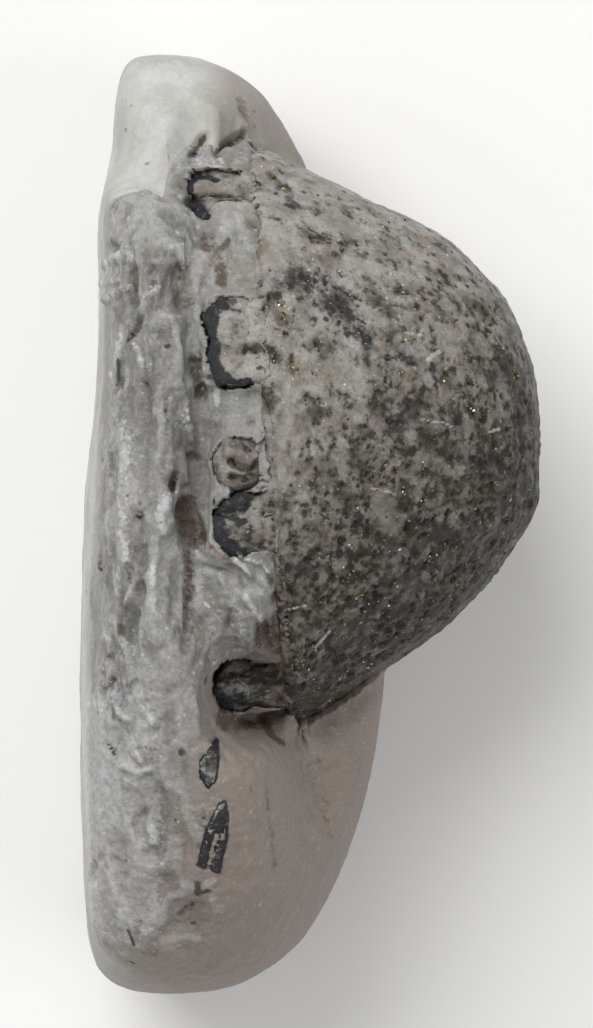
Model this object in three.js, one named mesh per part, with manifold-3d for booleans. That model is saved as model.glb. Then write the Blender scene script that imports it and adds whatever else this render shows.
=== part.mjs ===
// Fossil crinoid: the cup of a sea lily, half out of a rounded lump of limestone.
// Millimetres, +Z up. The specimen lies on its worn far face, on the plane z = 0. Its long axis is Y, and the
// cup bulges towards +X, with the broken arm stumps along the rim on the side that faces up.

import * as THREE from "three";
import { ImprovedNoise } from "three/addons/math/ImprovedNoise.js";
import { mergeVertices } from "three/addons/utils/BufferGeometryUtils.js";
import Module from "manifold-3d";

const wasm = await Module();
wasm.setup();

// ---------------------------------------------------------------- driving dimensions

const GAP = 0.3; // clearance between neighbouring pieces

// The cup: its outline seen from above, from the stem scar round to the part buried in the rock, as pairs of
// points on the upper (+Y) and lower (-Y) edge. Each pair carries an elliptical section.
const CUP_UPPER = [
  [15.3, 3.9], [15.25, 5.9], [14.9, 9.4], [13.2, 14.6], [9.1, 18.9], [3.3, 21.9], [-1.8, 24.3], [-4.2, 25.0],
  [-4.7, 21.0], [-7.2, 13.5], [-8.0, 5.6],
];
const CUP_LOWER = [
  [15.3, 3.9], [15.2, 1.9], [14.45, -0.3], [12.1, -3.7], [8.1, -7.5], [3.4, -10.7], [0, -13.1], [-1.6, -13.6],
  [-2.6, -9.8], [-6.4, -2.2], [-8.0, 5.6],
];
const CUP_AXIS_Z = 19; // height of the cup's axis above the table
const CUP_DEPTH = 0.92; // depth of a section over its width
const CUP_RIM = 7 / 10; // where along the outline the arms join
const CUP_SWELL = { height: 0.3, size: 5.5, from: 3, to: 6 }; // low swellings, full at "to" from the scar
const CUP_SWELL_LEAN = 0.6; // share of a swelling that goes towards the stem's end
const SCAR_RADIUS = 2.1; // round scar of the lost stem
const SCAR_EDGE = 0.5; // width of its sloping edge
const SCAR_DEPTH = 0.45;

// The rock: its outline seen from above, top end to bottom end, as pairs of points on the left and right
// edge, with the heights of the crest, of the widest part and of the underside before it was worn flat.
const ROCK_LEFT = [
  [-9.1, 31.5], [-12.1, 31.1], [-12.95, 29.0], [-13.3, 25.3], [-14.1, 20.0], [-14.05, 14.0], [-14.4, 7.5],
  [-15.0, 1], [-15.3, -8], [-15.3, -17], [-15.15, -24], [-14.6, -28.9], [-12.6, -31.1], [-8.8, -31.5],
];
const ROCK_RIGHT = [
  [-9.1, 31.5], [-6.5, 30.9], [-3.3, 29.0], [-1.4, 25.9], [0.8, 22], [3.0, 16], [3.9, 8.5], [4.6, 1],
  [5.2, -6.5], [4.45, -14.6], [2.65, -21.9], [-0.6, -27.9], [-4.4, -30.8], [-8.8, -31.5],
];
const ROCK_CREST = [14, 18.5, 21.5, 26.5, 34, 36.2, 36.4, 36.2, 35.2, 33.2, 30.2, 26, 20.5, 13.5];
const ROCK_WIDEST = [14, 14, 14.5, 15, 16, 17, 17, 17, 16.5, 15.5, 14.5, 14, 13.5, 13.5];
const ROCK_UNDERSIDE = [14, 6.5, 1.5, -2, -3, -3, -3, -3, -3, -3, -2.5, 0, 5, 13.5];
const LEFT_SQUARENESS = 3.6; // superellipse exponent of the broken, boxy side
const RIGHT_SQUARENESS = 2.1; // and of the smooth, water-worn side
const BROKEN_ROUGHNESS = { height: 0.9, size: 3.2, from: 3, to: 7 }; // of the broken side, full at -x = "to"
const CLEARED_SLOPE = 0.62; // rise of the rock away from the cup's flank, where it was cleared
const CLEARED_BLEND = 5;
const SHELF_DROP = 0.35; // how far the rock beside the cup lies below its rim
const SHELF_BLEND = 0.5;
const SHELF_BACK = { upper: -9.2, lower: -6.2, from: 5, to: 9.5, unevenness: 0.9, size: 4 }; // x of its back
const SHELF_EDGE = 1.3; // width of the slope there
const SHELF_ENDS = [-14.4, -13.2, 22.8, 23.8]; // y of its slopes at the lower and the upper end
const RIM_MIDDLE_X = -2.95;
const RIM_MIDDLE_Y = 5.7;
const RIM_HALF_WIDTH = 19.3;
const RIM_LEAN = 1.35; // how far the rim's upper end lies behind its middle

// Forms of the rock's upper face. Mounds, and hollows with steep sides: centre, reach along x and y, height.
// Ridges along the specimen: x, how far they sway, half width, height, and the y of their two fading ends.
const MOUNDS = [
  { at: [-4.9, -5.4], reach: [2.0, 2.9], height: 1.7 }, // lobe between the third and the last arms
  { at: [-4.65, 3.85], reach: [2.5, 2.4], height: -1.1 }, // nest of the loose ossicle
  { at: [-6.3, 26.4], reach: [0.7, 1.6], height: 1.3 }, // two knobs on the shoulder above the cup
  { at: [-4.4, 26.3], reach: [0.8, 1.4], height: 1.3 },
];
const HOLLOWS = [
  { at: [-4.4, -10.4], reach: [2.2, 1.95], height: -5 }, // cavity over the last arm
  { at: [-4.2, -12.3], reach: [2.4, 1.9], height: -2.6 }, // recess below it
];
const RIDGES = [
  { x: -9.9, sway: 0.4, width: 1.2, height: 0.9, lower: [-17, -12], upper: [16, 20] },
  { x: -7.4, sway: 0, width: 1.1, height: -2.1, lower: [-9, -5], upper: [11, 16] },
];
const SWAY_LENGTH = 4;
const BRINK = { y: 21.7, drop: 5, steepness: 0.8, run: 6 }; // edge of the broken layer, at its upper end
const BRINK_NICK = { x: -9.5, width: 0.7, depth: 1 };
const BRINK_STEP = { from: -9, to: -7.6, height: 1.6 };

// The arms: angle round the rim from +Y towards the crest, width, the x of the broken end, and how far the
// outer face stands above the rim.
const ARM_THICKNESS = 2.7;
const ARM_TAPER = 0.35; // how much narrower each side is at the inner face
const ARM_BEVEL = 0.3;
const ARM_SHOULDER = 0.45; // height of the rounded outer corners
const ARMS = [
  { name: "arm_1a", angle: 29.5, width: 2.5, end: -8.2, rise: 0.1 },
  { name: "arm_1b", angle: 38, width: 2.3, end: -7.5, rise: -0.35 },
  { name: "arm_2a", angle: 66.6, width: 2.75, end: -6.9, rise: 0.1 },
  { name: "arm_2b", angle: 75.4, width: 2.8, end: -6.7, rise: 0.2 },
  { name: "arm_3a", angle: 103.8, width: 1.4, end: -6.2, rise: -0.1 },
  { name: "arm_3b", angle: 109.9, width: 2.4, end: -6.35, rise: 0.15 },
  { name: "arm_4", angle: 154, width: 2.5, end: -6.5, rise: 0.2 },
];

const SOCKET = { size: [1.4, 1.3, 3], centre: [-7.4, 20.6, 29.9] }; // broken opening over the end of arm_1b

const OSSICLE_CENTRE = new THREE.Vector3(-4.65, 3.85, 35.0);
const OSSICLE_RADII = new THREE.Vector3(1.8, 1.75, 1.4);
const OSSICLE_GROOVE = { centre: [-0.4, 1.3], radius: 1.55, width: 0.22, depth: 0.35 }; // part of a ring

// Two bits of arm that the rock's surface cuts through, as outlines seen from above.
const FRAGMENT_FLOOR = 28.6; // height that they reach down to in the rock
const FRAGMENT_PROUD = 0.12; // how far they stand above its surface
const FRAGMENT_GAP = 0.15; // clearance round them, less than the width of the fork's slot
const CORE_HEIGHT = 10; // of the straight core that a fragment is cut from
const FRAGMENTS = [
  {
    name: "fragment_small",
    outline: [
      [-6.1, -13.9], [-6.7, -14.7], [-7.2, -15.4], [-7.2, -16.4], [-6.7, -17.1], [-6.2, -16.6], [-6.0, -15.2],
    ],
  },
  {
    name: "fragment_fork",
    outline: [
      [-5.95, -18.1], [-6.75, -19.7], [-7.4, -22.2], [-6.9, -22.4], [-6.4, -20.2], [-6.1, -19.7],
      [-6.05, -20.3], [-6.55, -22.5], [-6.0, -22.7], [-5.45, -20.2], [-5.4, -18.9], [-5.6, -17.95],
    ],
  },
];

// ---------------------------------------------------------------- finishes

const LIMESTONE = { color: 0x97948e, roughness: 0.85, metalness: 0 };
const CALCITE_CUP = { color: 0x77716b, roughness: 0.6, metalness: 0 };
const DARK_CALCITE = { color: 0x4f5052, roughness: 0.5, metalness: 0 };

// Fineness of the skins: segments round the axis and rings along it.
const CUP_GRID = [36, 28];
const ROCK_GRID = [42, 57];
const OSSICLE_GRID = [18, 10];
const MERGED = 1e-4; // vertices closer than this are one

// ---------------------------------------------------------------- helpers

const curve = (points) => new THREE.SplineCurve(points.map(([x, y]) => new THREE.Vector2(x, y)));
const profile = (values) => {
  const line = curve(values.map((value, i) => [i, value]));
  return (along) => line.getPoint(along).y;
};
const smooth = THREE.MathUtils.smoothstep;
const smallerOf = (a, b, blend) => 0.5 * (a + b - Math.hypot(a - b, blend));
const bell = (distance, width) => Math.exp(-((distance / width) ** 2));
const away = (x, y, { at, reach }) => Math.hypot((x - at[0]) / reach[0], (y - at[1]) / reach[1]);
const noise = new ImprovedNoise();
const lumps = (x, y, z, size) => noise.noise(x / size + 3.1, y / size + 7.7, z / size + 1.3);

// A closed skin made from a sphere's grid: place(along, around) gives the point at a share of the way from
// the first pole to the last and at an angle round the axis.
function skin(grid, place) {
  const sphere = new THREE.SphereGeometry(1, ...grid);
  const position = sphere.attributes.position;
  for (let i = 0; i < position.count; i++) {
    const along = Math.acos(THREE.MathUtils.clamp(position.getY(i), -1, 1)) / Math.PI;
    const around = Math.atan2(position.getZ(i), position.getX(i));
    const point = place(along, around);
    position.setXYZ(i, point.x, point.y, point.z);
  }
  return plain(sphere);
}

// Only positions, with shared vertices merged.
function plain(geometry) {
  geometry.deleteAttribute("normal");
  geometry.deleteAttribute("uv");
  return mergeVertices(geometry, MERGED);
}

// A copy with every vertex drawn part of the way to the middle of its neighbours, which rounds sharp steps.
function relaxed(geometry, share) {
  const copy = geometry.clone();
  const from = geometry.attributes.position;
  const to = copy.attributes.position;
  const neighbours = Array.from({ length: from.count }, () => new Set());
  const { array: corners } = geometry.index;
  for (let i = 0; i < corners.length; i += 3) {
    const [a, b, c] = corners.slice(i, i + 3);
    neighbours[a].add(b).add(c);
    neighbours[b].add(a).add(c);
    neighbours[c].add(a).add(b);
  }
  for (let i = 0; i < from.count; i++) {
    const mean = new THREE.Vector3();
    for (const k of neighbours[i]) mean.add(new THREE.Vector3().fromBufferAttribute(from, k));
    mean.divideScalar(neighbours[i].size);
    const point = new THREE.Vector3().fromBufferAttribute(from, i).lerp(mean, share);
    to.setXYZ(i, point.x, point.y, point.z);
  }
  return copy;
}

// A copy with every vertex moved out along its normal.
function grown(geometry, distance) {
  const copy = geometry.clone();
  copy.computeVertexNormals();
  const { position, normal } = copy.attributes;
  for (let i = 0; i < position.count; i++) {
    position.setXYZ(
      i,
      position.getX(i) + distance * normal.getX(i),
      position.getY(i) + distance * normal.getY(i),
      position.getZ(i) + distance * normal.getZ(i),
    );
  }
  return copy;
}

function solidOf(geometry) {
  const merged = plain(geometry.clone());
  return new wasm.Manifold(
    new wasm.Mesh({
      numProp: 3,
      vertProperties: new Float32Array(merged.attributes.position.array),
      triVerts: new Uint32Array(merged.index.array),
    }),
  );
}

// The largest body of a solid, as a three.js geometry.
function geometryOf(solid) {
  const body = solid.decompose().sort((a, b) => b.volume() - a.volume())[0];
  const mesh = body.getMesh();
  const geometry = new THREE.BufferGeometry();
  geometry.setAttribute("position", new THREE.BufferAttribute(mesh.vertProperties, 3));
  geometry.setIndex(new THREE.BufferAttribute(mesh.triVerts, 1));
  geometry.computeVertexNormals();
  return geometry;
}

// ---------------------------------------------------------------- cup

const cupUpper = curve(CUP_UPPER);
const cupLower = curve(CUP_LOWER);

// y of one edge of the cup at x, and that of its end at the rim for any x behind the rim.
function edgeOfCup(points, x) {
  const rim = Math.round(CUP_RIM * (points.length - 1));
  const i = points.findIndex(([px], k) => k > 1 && (px <= x || k === rim));
  const share = THREE.MathUtils.clamp((x - points[i][0]) / (points[i - 1][0] - points[i][0]), 0, 1);
  return THREE.MathUtils.lerp(points[i][1], points[i - 1][1], share);
}

function cupPoint(along, angle) {
  const upper = cupUpper.getPoint(along);
  const lower = cupLower.getPoint(along);
  const half = upper.clone().sub(lower).multiplyScalar(0.5);
  const middle = upper.clone().add(lower).multiplyScalar(0.5);
  const depth = CUP_DEPTH * half.length();
  return new THREE.Vector3(
    middle.x + half.x * Math.cos(angle),
    middle.y + half.y * Math.cos(angle),
    CUP_AXIS_Z + depth * Math.sin(angle),
  );
}

function makeCup() {
  const scar = new THREE.Vector3(CUP_UPPER[0][0], CUP_UPPER[0][1], CUP_AXIS_Z);
  return skin(CUP_GRID, (along, around) => {
    const point = cupPoint(along, Math.PI - around);
    const fromScar = Math.hypot(point.y - scar.y, point.z - scar.z);
    const inScar = along < CUP_RIM / 2 ? 1 - smooth(fromScar, SCAR_RADIUS - SCAR_EDGE, SCAR_RADIUS) : 0;
    point.x -= SCAR_DEPTH * inScar;
    const { height, size, from, to } = CUP_SWELL;
    const swell = height * lumps(point.x, point.y, point.z, size) * smooth(fromScar, from, to);
    point.z += swell * Math.sin(around);
    point.x += swell * CUP_SWELL_LEAN;
    return point;
  });
}

// ---------------------------------------------------------------- arms

// The arm's cross-section: a bar with a rounded outer face, a little narrower at its inner face.
function armSection(width) {
  const half = width / 2;
  const inner = half - ARM_TAPER;
  const floor = -ARM_THICKNESS;
  const section = new THREE.Shape();
  section.moveTo(-inner + ARM_BEVEL, floor);
  section.lineTo(inner - ARM_BEVEL, floor);
  section.quadraticCurveTo(inner, floor, inner, floor + ARM_BEVEL);
  section.lineTo(half, -ARM_SHOULDER);
  section.quadraticCurveTo(0.85 * half, 0, 0, 0);
  section.quadraticCurveTo(-0.85 * half, 0, -half, -ARM_SHOULDER);
  section.lineTo(-inner, floor + ARM_BEVEL);
  section.quadraticCurveTo(-inner, floor, -inner + ARM_BEVEL, floor);
  return section;
}

function makeArm({ angle, width, end, rise }) {
  const phi = THREE.MathUtils.degToRad(angle);
  const rim = cupPoint(CUP_RIM, phi);
  const outward = new THREE.Vector3(0, Math.cos(phi), CUP_DEPTH * Math.sin(phi)).normalize();
  const backward = new THREE.Vector3(-1, 0, 0);
  const sideways = outward.clone().cross(backward);
  const bar = new THREE.ExtrudeGeometry(armSection(width), {
    depth: rim.x - end,
    steps: 3,
    bevelEnabled: false,
    curveSegments: 3,
  });
  const origin = rim.clone().addScaledVector(outward, rise);
  bar.applyMatrix4(new THREE.Matrix4().makeBasis(sideways, outward, backward).setPosition(origin));
  return plain(bar);
}

// ---------------------------------------------------------------- loose ossicle and fragments

function makeOssicle() {
  const { centre, radius, width, depth } = OSSICLE_GROOVE;
  return skin(OSSICLE_GRID, (along, around) => {
    const polar = along * Math.PI;
    const unit = new THREE.Vector3(
      Math.sin(polar) * Math.cos(around),
      Math.cos(polar),
      Math.sin(polar) * Math.sin(around),
    );
    const point = unit.clone().multiply(OSSICLE_RADII);
    const fromCentre = Math.hypot(point.x - centre[0], point.y - centre[1]);
    point.z -= depth * bell(fromCentre - radius, width) * Math.max(0, unit.z);
    return point.add(OSSICLE_CENTRE);
  });
}

// A straight-sided core with a fragment's outline, tall enough to pass out through the rock's surface.
function makeCore({ outline }, floor) {
  const shape = new THREE.Shape(outline.map(([x, y]) => new THREE.Vector2(x, y)));
  const core = new THREE.ExtrudeGeometry(shape, { depth: CORE_HEIGHT, bevelEnabled: false });
  core.translate(0, 0, floor);
  return plain(core);
}

// ---------------------------------------------------------------- rock

const rockLeft = curve(ROCK_LEFT);
const rockRight = curve(ROCK_RIGHT);
const rockCrest = profile(ROCK_CREST);
const rockWidest = profile(ROCK_WIDEST);
const rockUnderside = profile(ROCK_UNDERSIDE);

// What weathering and preparation left on the upper face, as a height added at (x, y).
function relief(x, y) {
  const step = BRINK_STEP.height * smooth(x, BRINK_STEP.from, BRINK_STEP.to);
  const brink = BRINK.y - BRINK_NICK.depth * bell(x - BRINK_NICK.x, BRINK_NICK.width) + step;
  const foot = brink + BRINK.steepness;
  let height = -BRINK.drop * smooth(y, brink, foot) * (1 - smooth(y, foot, brink + BRINK.run));
  for (const ridge of RIDGES) {
    const middle = ridge.x + ridge.sway * Math.sin(y / SWAY_LENGTH);
    const lasting = smooth(y, ...ridge.lower) * (1 - smooth(y, ...ridge.upper));
    height += ridge.height * bell(x - middle, ridge.width) * lasting;
  }
  for (const mound of MOUNDS) height += mound.height * bell(away(x, y, mound), 1);
  for (const hollow of HOLLOWS) height += hollow.height * bell(away(x, y, hollow) ** 2, 1);
  return height;
}

// Where (x, y) lies across the rim: -1 at its lower end, 1 at its upper end.
const acrossRim = (y) => (y - RIM_MIDDLE_Y) / RIM_HALF_WIDTH;

// The height of the shelf behind the rim that carries the arms: a little under the rim all along it.
function shelf(y) {
  const inward = Math.sqrt(Math.max(0, 1 - acrossRim(y) ** 2));
  return CUP_AXIS_Z - SHELF_DROP + CUP_DEPTH * RIM_HALF_WIDTH * inward;
}

// How far the shelf counts at (x, y). It runs from the brink above the first arm to the recess below the
// last one.
function onShelf(x, y) {
  const { upper, lower, from, to, unevenness, size } = SHELF_BACK;
  const back = THREE.MathUtils.lerp(upper, lower, smooth(-y, from, to)) + unevenness * lumps(0, y, 0, size);
  const [lowest, low, high, highest] = SHELF_ENDS;
  return smooth(x, back, back + SHELF_EDGE) * smooth(y, lowest, low) * (1 - smooth(y, high, highest));
}

// The height that the rock was cleared down to beside the cup, from its equator outwards.
function cleared(x, y) {
  const outside = Math.max(y - edgeOfCup(CUP_UPPER, x), edgeOfCup(CUP_LOWER, x) - y);
  return CUP_AXIS_Z - SHELF_DROP + CLEARED_SLOPE * outside;
}

// How far that clearing counts at (x, y): not at all behind the rim, and fully in front of it. At the rim's
// two ends it begins farther back, over a longer way.
function clearing(x, y) {
  const across = acrossRim(y);
  const rimX = RIM_MIDDLE_X - RIM_LEAN * across;
  const atEnd = smooth(Math.abs(across), 0.8, 1.05);
  return smooth(x, rimX + 0.8 - 3.4 * atEnd, rimX + 1.8 + 0.6 * atEnd);
}

function makeRock() {
  return skin(ROCK_GRID, (along, around) => {
    const left = rockLeft.getPoint(along);
    const right = rockRight.getPoint(along);
    const cos = Math.cos(around);
    const sin = Math.sin(around);
    const squareness = THREE.MathUtils.lerp(LEFT_SQUARENESS, RIGHT_SQUARENESS, (1 + cos) / 2);
    const radius = (Math.abs(cos) ** squareness + Math.abs(sin) ** squareness) ** (-1 / squareness);
    const middle = left.clone().add(right).multiplyScalar(0.5);
    const half = right.clone().sub(left).multiplyScalar(0.5);
    const widest = rockWidest(along);
    const reach = sin > 0 ? rockCrest(along) - widest : widest - rockUnderside(along);
    const x = middle.x + half.x * radius * cos;
    const y = middle.y + half.y * radius * cos;
    const { height, size, from, to } = BROKEN_ROUGHNESS;
    const fading = smooth(-x, from, to) * Math.min(1, 6 * along * (1 - along));
    let z = widest + (reach * radius + height * lumps(x, y, 0, size) * fading) * sin;
    if (sin > 0) {
      z = THREE.MathUtils.lerp(z, smallerOf(z, shelf(y), SHELF_BLEND), onShelf(x, y));
      z += smooth(sin, 0.1, 0.6) * relief(x, y);
      z = THREE.MathUtils.lerp(z, smallerOf(z, cleared(x, y), CLEARED_BLEND), clearing(x, y));
      z = Math.max(z, widest + sin);
    }
    return new THREE.Vector3(x, y, z);
  });
}

// ---------------------------------------------------------------- assembly

const cup = makeCup();
const cupRoom = solidOf(grown(cup, GAP));
const ossicle = makeOssicle();
const wholeRock = relaxed(makeRock(), 0.5);
const proudRock = solidOf(grown(wholeRock, FRAGMENT_PROUD));

const table = new THREE.BoxGeometry(100, 100, 40);
table.translate(0, 0, -20);
const socket = new THREE.BoxGeometry(...SOCKET.size);
socket.translate(...SOCKET.centre);
let rock = solidOf(wholeRock).subtract(solidOf(table)).subtract(solidOf(socket));
rock = rock.subtract(cupRoom).subtract(solidOf(grown(ossicle, GAP)));
for (const arm of ARMS) rock = rock.subtract(solidOf(grown(makeArm(arm), GAP)));
for (const fragment of FRAGMENTS) {
  rock = rock.subtract(solidOf(grown(makeCore(fragment, FRAGMENT_FLOOR - GAP), FRAGMENT_GAP)));
}

const specimen = new THREE.Group();
function add(name, solid, finish) {
  const mesh = new THREE.Mesh(geometryOf(solid), new THREE.MeshStandardMaterial(finish));
  mesh.name = name;
  specimen.add(mesh);
}
add("matrix", rock, LIMESTONE);
add("calyx", solidOf(cup), CALCITE_CUP);
add("loose_ossicle", solidOf(ossicle).subtract(cupRoom), CALCITE_CUP);
for (const arm of ARMS) add(arm.name, solidOf(makeArm(arm)).subtract(cupRoom), DARK_CALCITE);
for (const fragment of FRAGMENTS) {
  add(fragment.name, solidOf(makeCore(fragment, FRAGMENT_FLOOR)).intersect(proudRock), DARK_CALCITE);
}

export default specimen;
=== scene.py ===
# A fossil crinoid: the dotted cup of a sea lily with its broken arm stumps, half out of a lump of limestone.
# Metres, +Z up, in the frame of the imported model. The specimen lies on the table, with the fossil facing up.

import math

import bpy
import numpy as np
from mathutils import Matrix, Vector, noise
from mathutils.bvhtree import BVHTree
from mathutils.kdtree import KDTree


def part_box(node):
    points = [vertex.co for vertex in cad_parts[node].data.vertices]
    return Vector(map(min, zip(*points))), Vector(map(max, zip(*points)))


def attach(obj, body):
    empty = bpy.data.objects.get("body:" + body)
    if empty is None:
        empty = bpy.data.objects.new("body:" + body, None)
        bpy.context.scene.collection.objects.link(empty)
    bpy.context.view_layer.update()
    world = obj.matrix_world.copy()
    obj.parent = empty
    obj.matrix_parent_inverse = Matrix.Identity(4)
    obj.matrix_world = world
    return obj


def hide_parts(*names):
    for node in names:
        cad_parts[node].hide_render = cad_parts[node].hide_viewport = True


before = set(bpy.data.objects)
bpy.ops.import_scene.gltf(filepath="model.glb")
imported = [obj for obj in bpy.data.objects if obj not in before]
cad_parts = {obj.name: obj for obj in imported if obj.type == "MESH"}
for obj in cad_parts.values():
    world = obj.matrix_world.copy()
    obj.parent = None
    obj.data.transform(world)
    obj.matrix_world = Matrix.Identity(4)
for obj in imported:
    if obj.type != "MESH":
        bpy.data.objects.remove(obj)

bpy.ops.object.select_all(action="DESELECT")
MM = 0.001
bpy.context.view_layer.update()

# ---------------------------------------------------------------- table, lamps and camera
# A pale matt table top in a white room. One large soft lamp stands beyond the upper left end of the
# specimen, and a weak one opposite it, so that relief shows and the lower right side stays in shade.

TABLE_SIDE = 3.0
TABLE_COLOUR = (0.86, 0.86, 0.85, 1)
TABLE_ROUGHNESS = 0.9
LAMPS = {"key_lamp": ((-0.24, 0.37, 0.56), 4.0), "fill_lamp": ((0.5, -0.2, 0.5), 1.0)}  # place and power
LAMP_SIDE = 0.5
LAMP_AIM = Vector((0, 0, 0.02))
ROOM_WHITE = (1.0, 1.0, 1.0, 1)
ROOM_STRENGTH = 0.5
CAMERA_PLACE = Vector((-0.97 * MM, 0.63 * MM, 518 * MM))
VIEW_HEIGHT = 34.27 * MM  # half of what the camera takes in from top to bottom, at VIEW_DISTANCE
VIEW_DISTANCE = 500 * MM
NEAREST_SEEN = 10 * MM
SENSOR = 24.0  # millimetres, the unit of a camera's sensor and lens

bpy.ops.mesh.primitive_plane_add(size=TABLE_SIDE)
table = bpy.context.object
table.name = "table_top"
table_paint = bpy.data.materials.new("pale_table")
table_paint.use_nodes = True
table_shader = table_paint.node_tree.nodes["Principled BSDF"]
table_shader.inputs["Base Color"].default_value = TABLE_COLOUR
table_shader.inputs["Roughness"].default_value = TABLE_ROUGHNESS
table.data.materials.append(table_paint)
table.select_set(False)

for name, (place, power) in LAMPS.items():
    bpy.ops.object.light_add(type="AREA", location=place)
    lamp = bpy.context.object
    lamp.name = name
    lamp.rotation_euler = (LAMP_AIM - Vector(place)).to_track_quat("-Z", "Y").to_euler()
    lamp.data.size = LAMP_SIDE
    lamp.data.energy = power
    lamp.select_set(False)
room = bpy.data.worlds.new("white_room")
room.use_nodes = True
room.node_tree.nodes["Background"].inputs["Color"].default_value = ROOM_WHITE
room.node_tree.nodes["Background"].inputs["Strength"].default_value = ROOM_STRENGTH
bpy.context.scene.world = room
bpy.context.scene.view_settings.view_transform = "Standard"

bpy.ops.object.camera_add(location=CAMERA_PLACE, rotation=(0, 0, 0))
camera = bpy.context.object
camera.data.sensor_fit = "VERTICAL"
camera.data.sensor_height = SENSOR
camera.data.lens = SENSOR / 2 * VIEW_DISTANCE / VIEW_HEIGHT
camera.data.clip_start = NEAREST_SEEN
camera.select_set(False)
bpy.context.scene.camera = camera

# ---------------------------------------------------------------- weathered rock
# The lump of grey limestone that the fossil sits in. One end and the lower right side are water-worn and
# smooth. The long face beside the arms was broken and then picked at, so it is rough, lumpy and cracked.

ROCK_VOXEL = 0.4 * MM
FILLER_GROWTH = 0.4 * MM  # more than the clearance that the model keeps round each piece
SEAM_REACH = 0.45 * MM  # rock closer to the fossil than this goes under its surface
SEAM_DEPTH = 0.5 * MM
SEAM_TAPER = 0.9 * MM  # width of the strip beside the fossil where the rock is drawn in to meet it
SEAM_PULL = 0.6
SMALL_REACH = 0.2 * MM  # reach of the seam for the arms and the ossicle
SEAM_SIDE = 0.35  # share of that reach that counts beside them, rather than over them
SIDE_SLOPE = 0.4  # a small piece's surface that faces up less than this is its side
LIP = 0.1 * MM  # how far the rock beside a small piece lies below its upper edge
LIP_RUN = 1.6 * MM  # width of the strip that is cut down so
LIP_SLOPE = 0.35
STEEP_SIDED = ["arm_4"]  # the rock stands high round it, and isn't cut down
EDGE_INSET = 0.35 * MM  # where the height of a small piece's edge is taken, in from its side
HIDDEN_SHARE = 0.08  # faces kept of the part of the skin that the fossil hides
STILL_COVERED = [(-4.2, 20.3, 0.8), (-7.1, -14.7, 0.3)]  # where rock laps over the fossil: x, y and radius
SLIVER_REACH = 0.17 * MM
SLIVER_DEPTH = 0.2 * MM
PICKED_DEPTH = 0.15 * MM  # how far below a finished piece the rock is picked away
PICKED_MARGIN = 0.03 * MM  # and how far round it
PICKED_SIDES = 6  # directions in which that margin is tried
# Stone that fills the corner under the cup's lower flank: its middle, half its length, breadth and height in
# millimetres, and its turn.
FLANK_BODY = (2.0 * MM, -12.2 * MM, 15.2 * MM)
FLANK_BODY_SIZE = (3.4, 1.6, 3.5)
FLANK_TURN = 0.61
FLANK_FILL = [(0.5, -14.1), (3.4, -12.3)]  # stone left standing against the lower flank of the cup
FLANK_FILL_REACH = 4.5 * MM
FLANK_FILL_HEIGHT = 2.5 * MM
FLANK_FILL_SLOPE = (0, 0.5)  # from a wall, which isn't filled, to a face that is
DETAILED_ABOVE = 20 * MM  # the upper face gets the finer mesh
DETAILED_SLOPE = 0.1
HIGHEST = 60 * MM
DOWN = Vector((0, 0, -1))
LINE_STEP = 0.4  # spacing of the points along a line of relief or colour, over its half width
SHARE_STEPS = 20
MERGED = 0.002 * MM  # corners this close are one
SMOOTHING = 0.5  # how far one round of smoothing moves a vertex

ARMS = ["arm_1a", "arm_1b", "arm_2a", "arm_2b", "arm_3a", "arm_3b", "arm_4"]
BURIED_IN_ROCK = ["calyx", "loose_ossicle"] + ARMS
SHOWN_IN_ROCK = [node for node in BURIED_IN_ROCK if node != "arm_1b"]  # arm_1b shows in its socket alone
SLIVERS = ["fragment_small", "fragment_fork"]

# Zones of the rock: the two values between which each fades in. Heights, and places across and along the
# rock, are in millimetres. A slope is how much a face turns up, from 0 for a wall to 1 for a level one.
STEEP_HEIGHT = (13, 22)
STEEP_SLOPE = (0.05, 0.35)
UPPER_HEIGHT = (17, 23)
UPPER_SLOPE = (0.1, 0.5)
BROKEN_SIDE = (4.6, 8.0)
BROKEN_END = (-30, -26)
FLAKY_SIDE = (9.0, 11.0)
FLAKY_START = (9, 13)
FLAKY_END = (25, 28)
FLAKY_HEIGHT = (18, 24)
FLAKY_SLOPE = (0, 0.25)
SHELF_SIDE = (-8.5, -6.5)
SHELF_ROUGH = 0.6  # how broken the shelf beside the cup is
SHELF_SMOOTHER = 0.7  # and how much less so at its lower end
SKIN_FADE = (-0.1, 0.2)  # beyond the ledge
SKIN_SIDE = 0.9  # to either side of the line along the flank
SKIN_SPREAD = 3  # how much wider these edges are on steep faces
SKIN_BACK = (8, 13)  # the skin also covers the steep faces of the long side
# The worn layer: the brown of the water-worn lower right side, darkened as painted shade, and painted shade on
# the right side of the upper end and on low faces at the right, away from the lamp.
WORN_ACROSS = (-12, 1)
WORN_LEAN = 0.25
WORN_ALONG = (5, 11)
WORN_FADE = (-0.5, 0.1)
WORN_SPREAD = 2.5
WORN_HEIGHT = (16, 22)
WORN_SIDE = (-8.5, -4.5)
WORN_LOW = 0.7
# Crest and trough layers: painted light on the crests of the ridges, and painted shade in the troughs.
CREST_FADE = (0.5, 0.95)
TROUGH_FADE = (0.15, 0.6)

# Ridges and ripples of the broken face: noise with sharp crests, drawn out along the rock.
RIDGES = (3.0 * MM, 3.0)  # size and stretch
RIDGE_HEIGHT = 0.45
RIPPLES = (1.1 * MM, 1.8)
RIPPLE_HEIGHT = 0.13
RIPPLED_SHELF = 0.5  # how much of it the rest of the upper face has
CREST_MIDDLE = 0.6
CREST_CONTRAST = 1.6
CREST_FRACTAL = (0.9, 2.1, 2)  # how fast finer sizes fade, the step from one to the next, and how many
ROCK_ROUGHNESS = [  # size and height of its clouds, where they lie and how many finer sizes they have
    (5.0, 0.3, "", 2),
    (1.3, 0.35, "shelf_face", 2),
    (0.8, 0.2, "broken_face", 2),
    (0.45, 0.26, "flaky_face", 1),
    (0.6, 0.08, "", 1),
]

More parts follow.
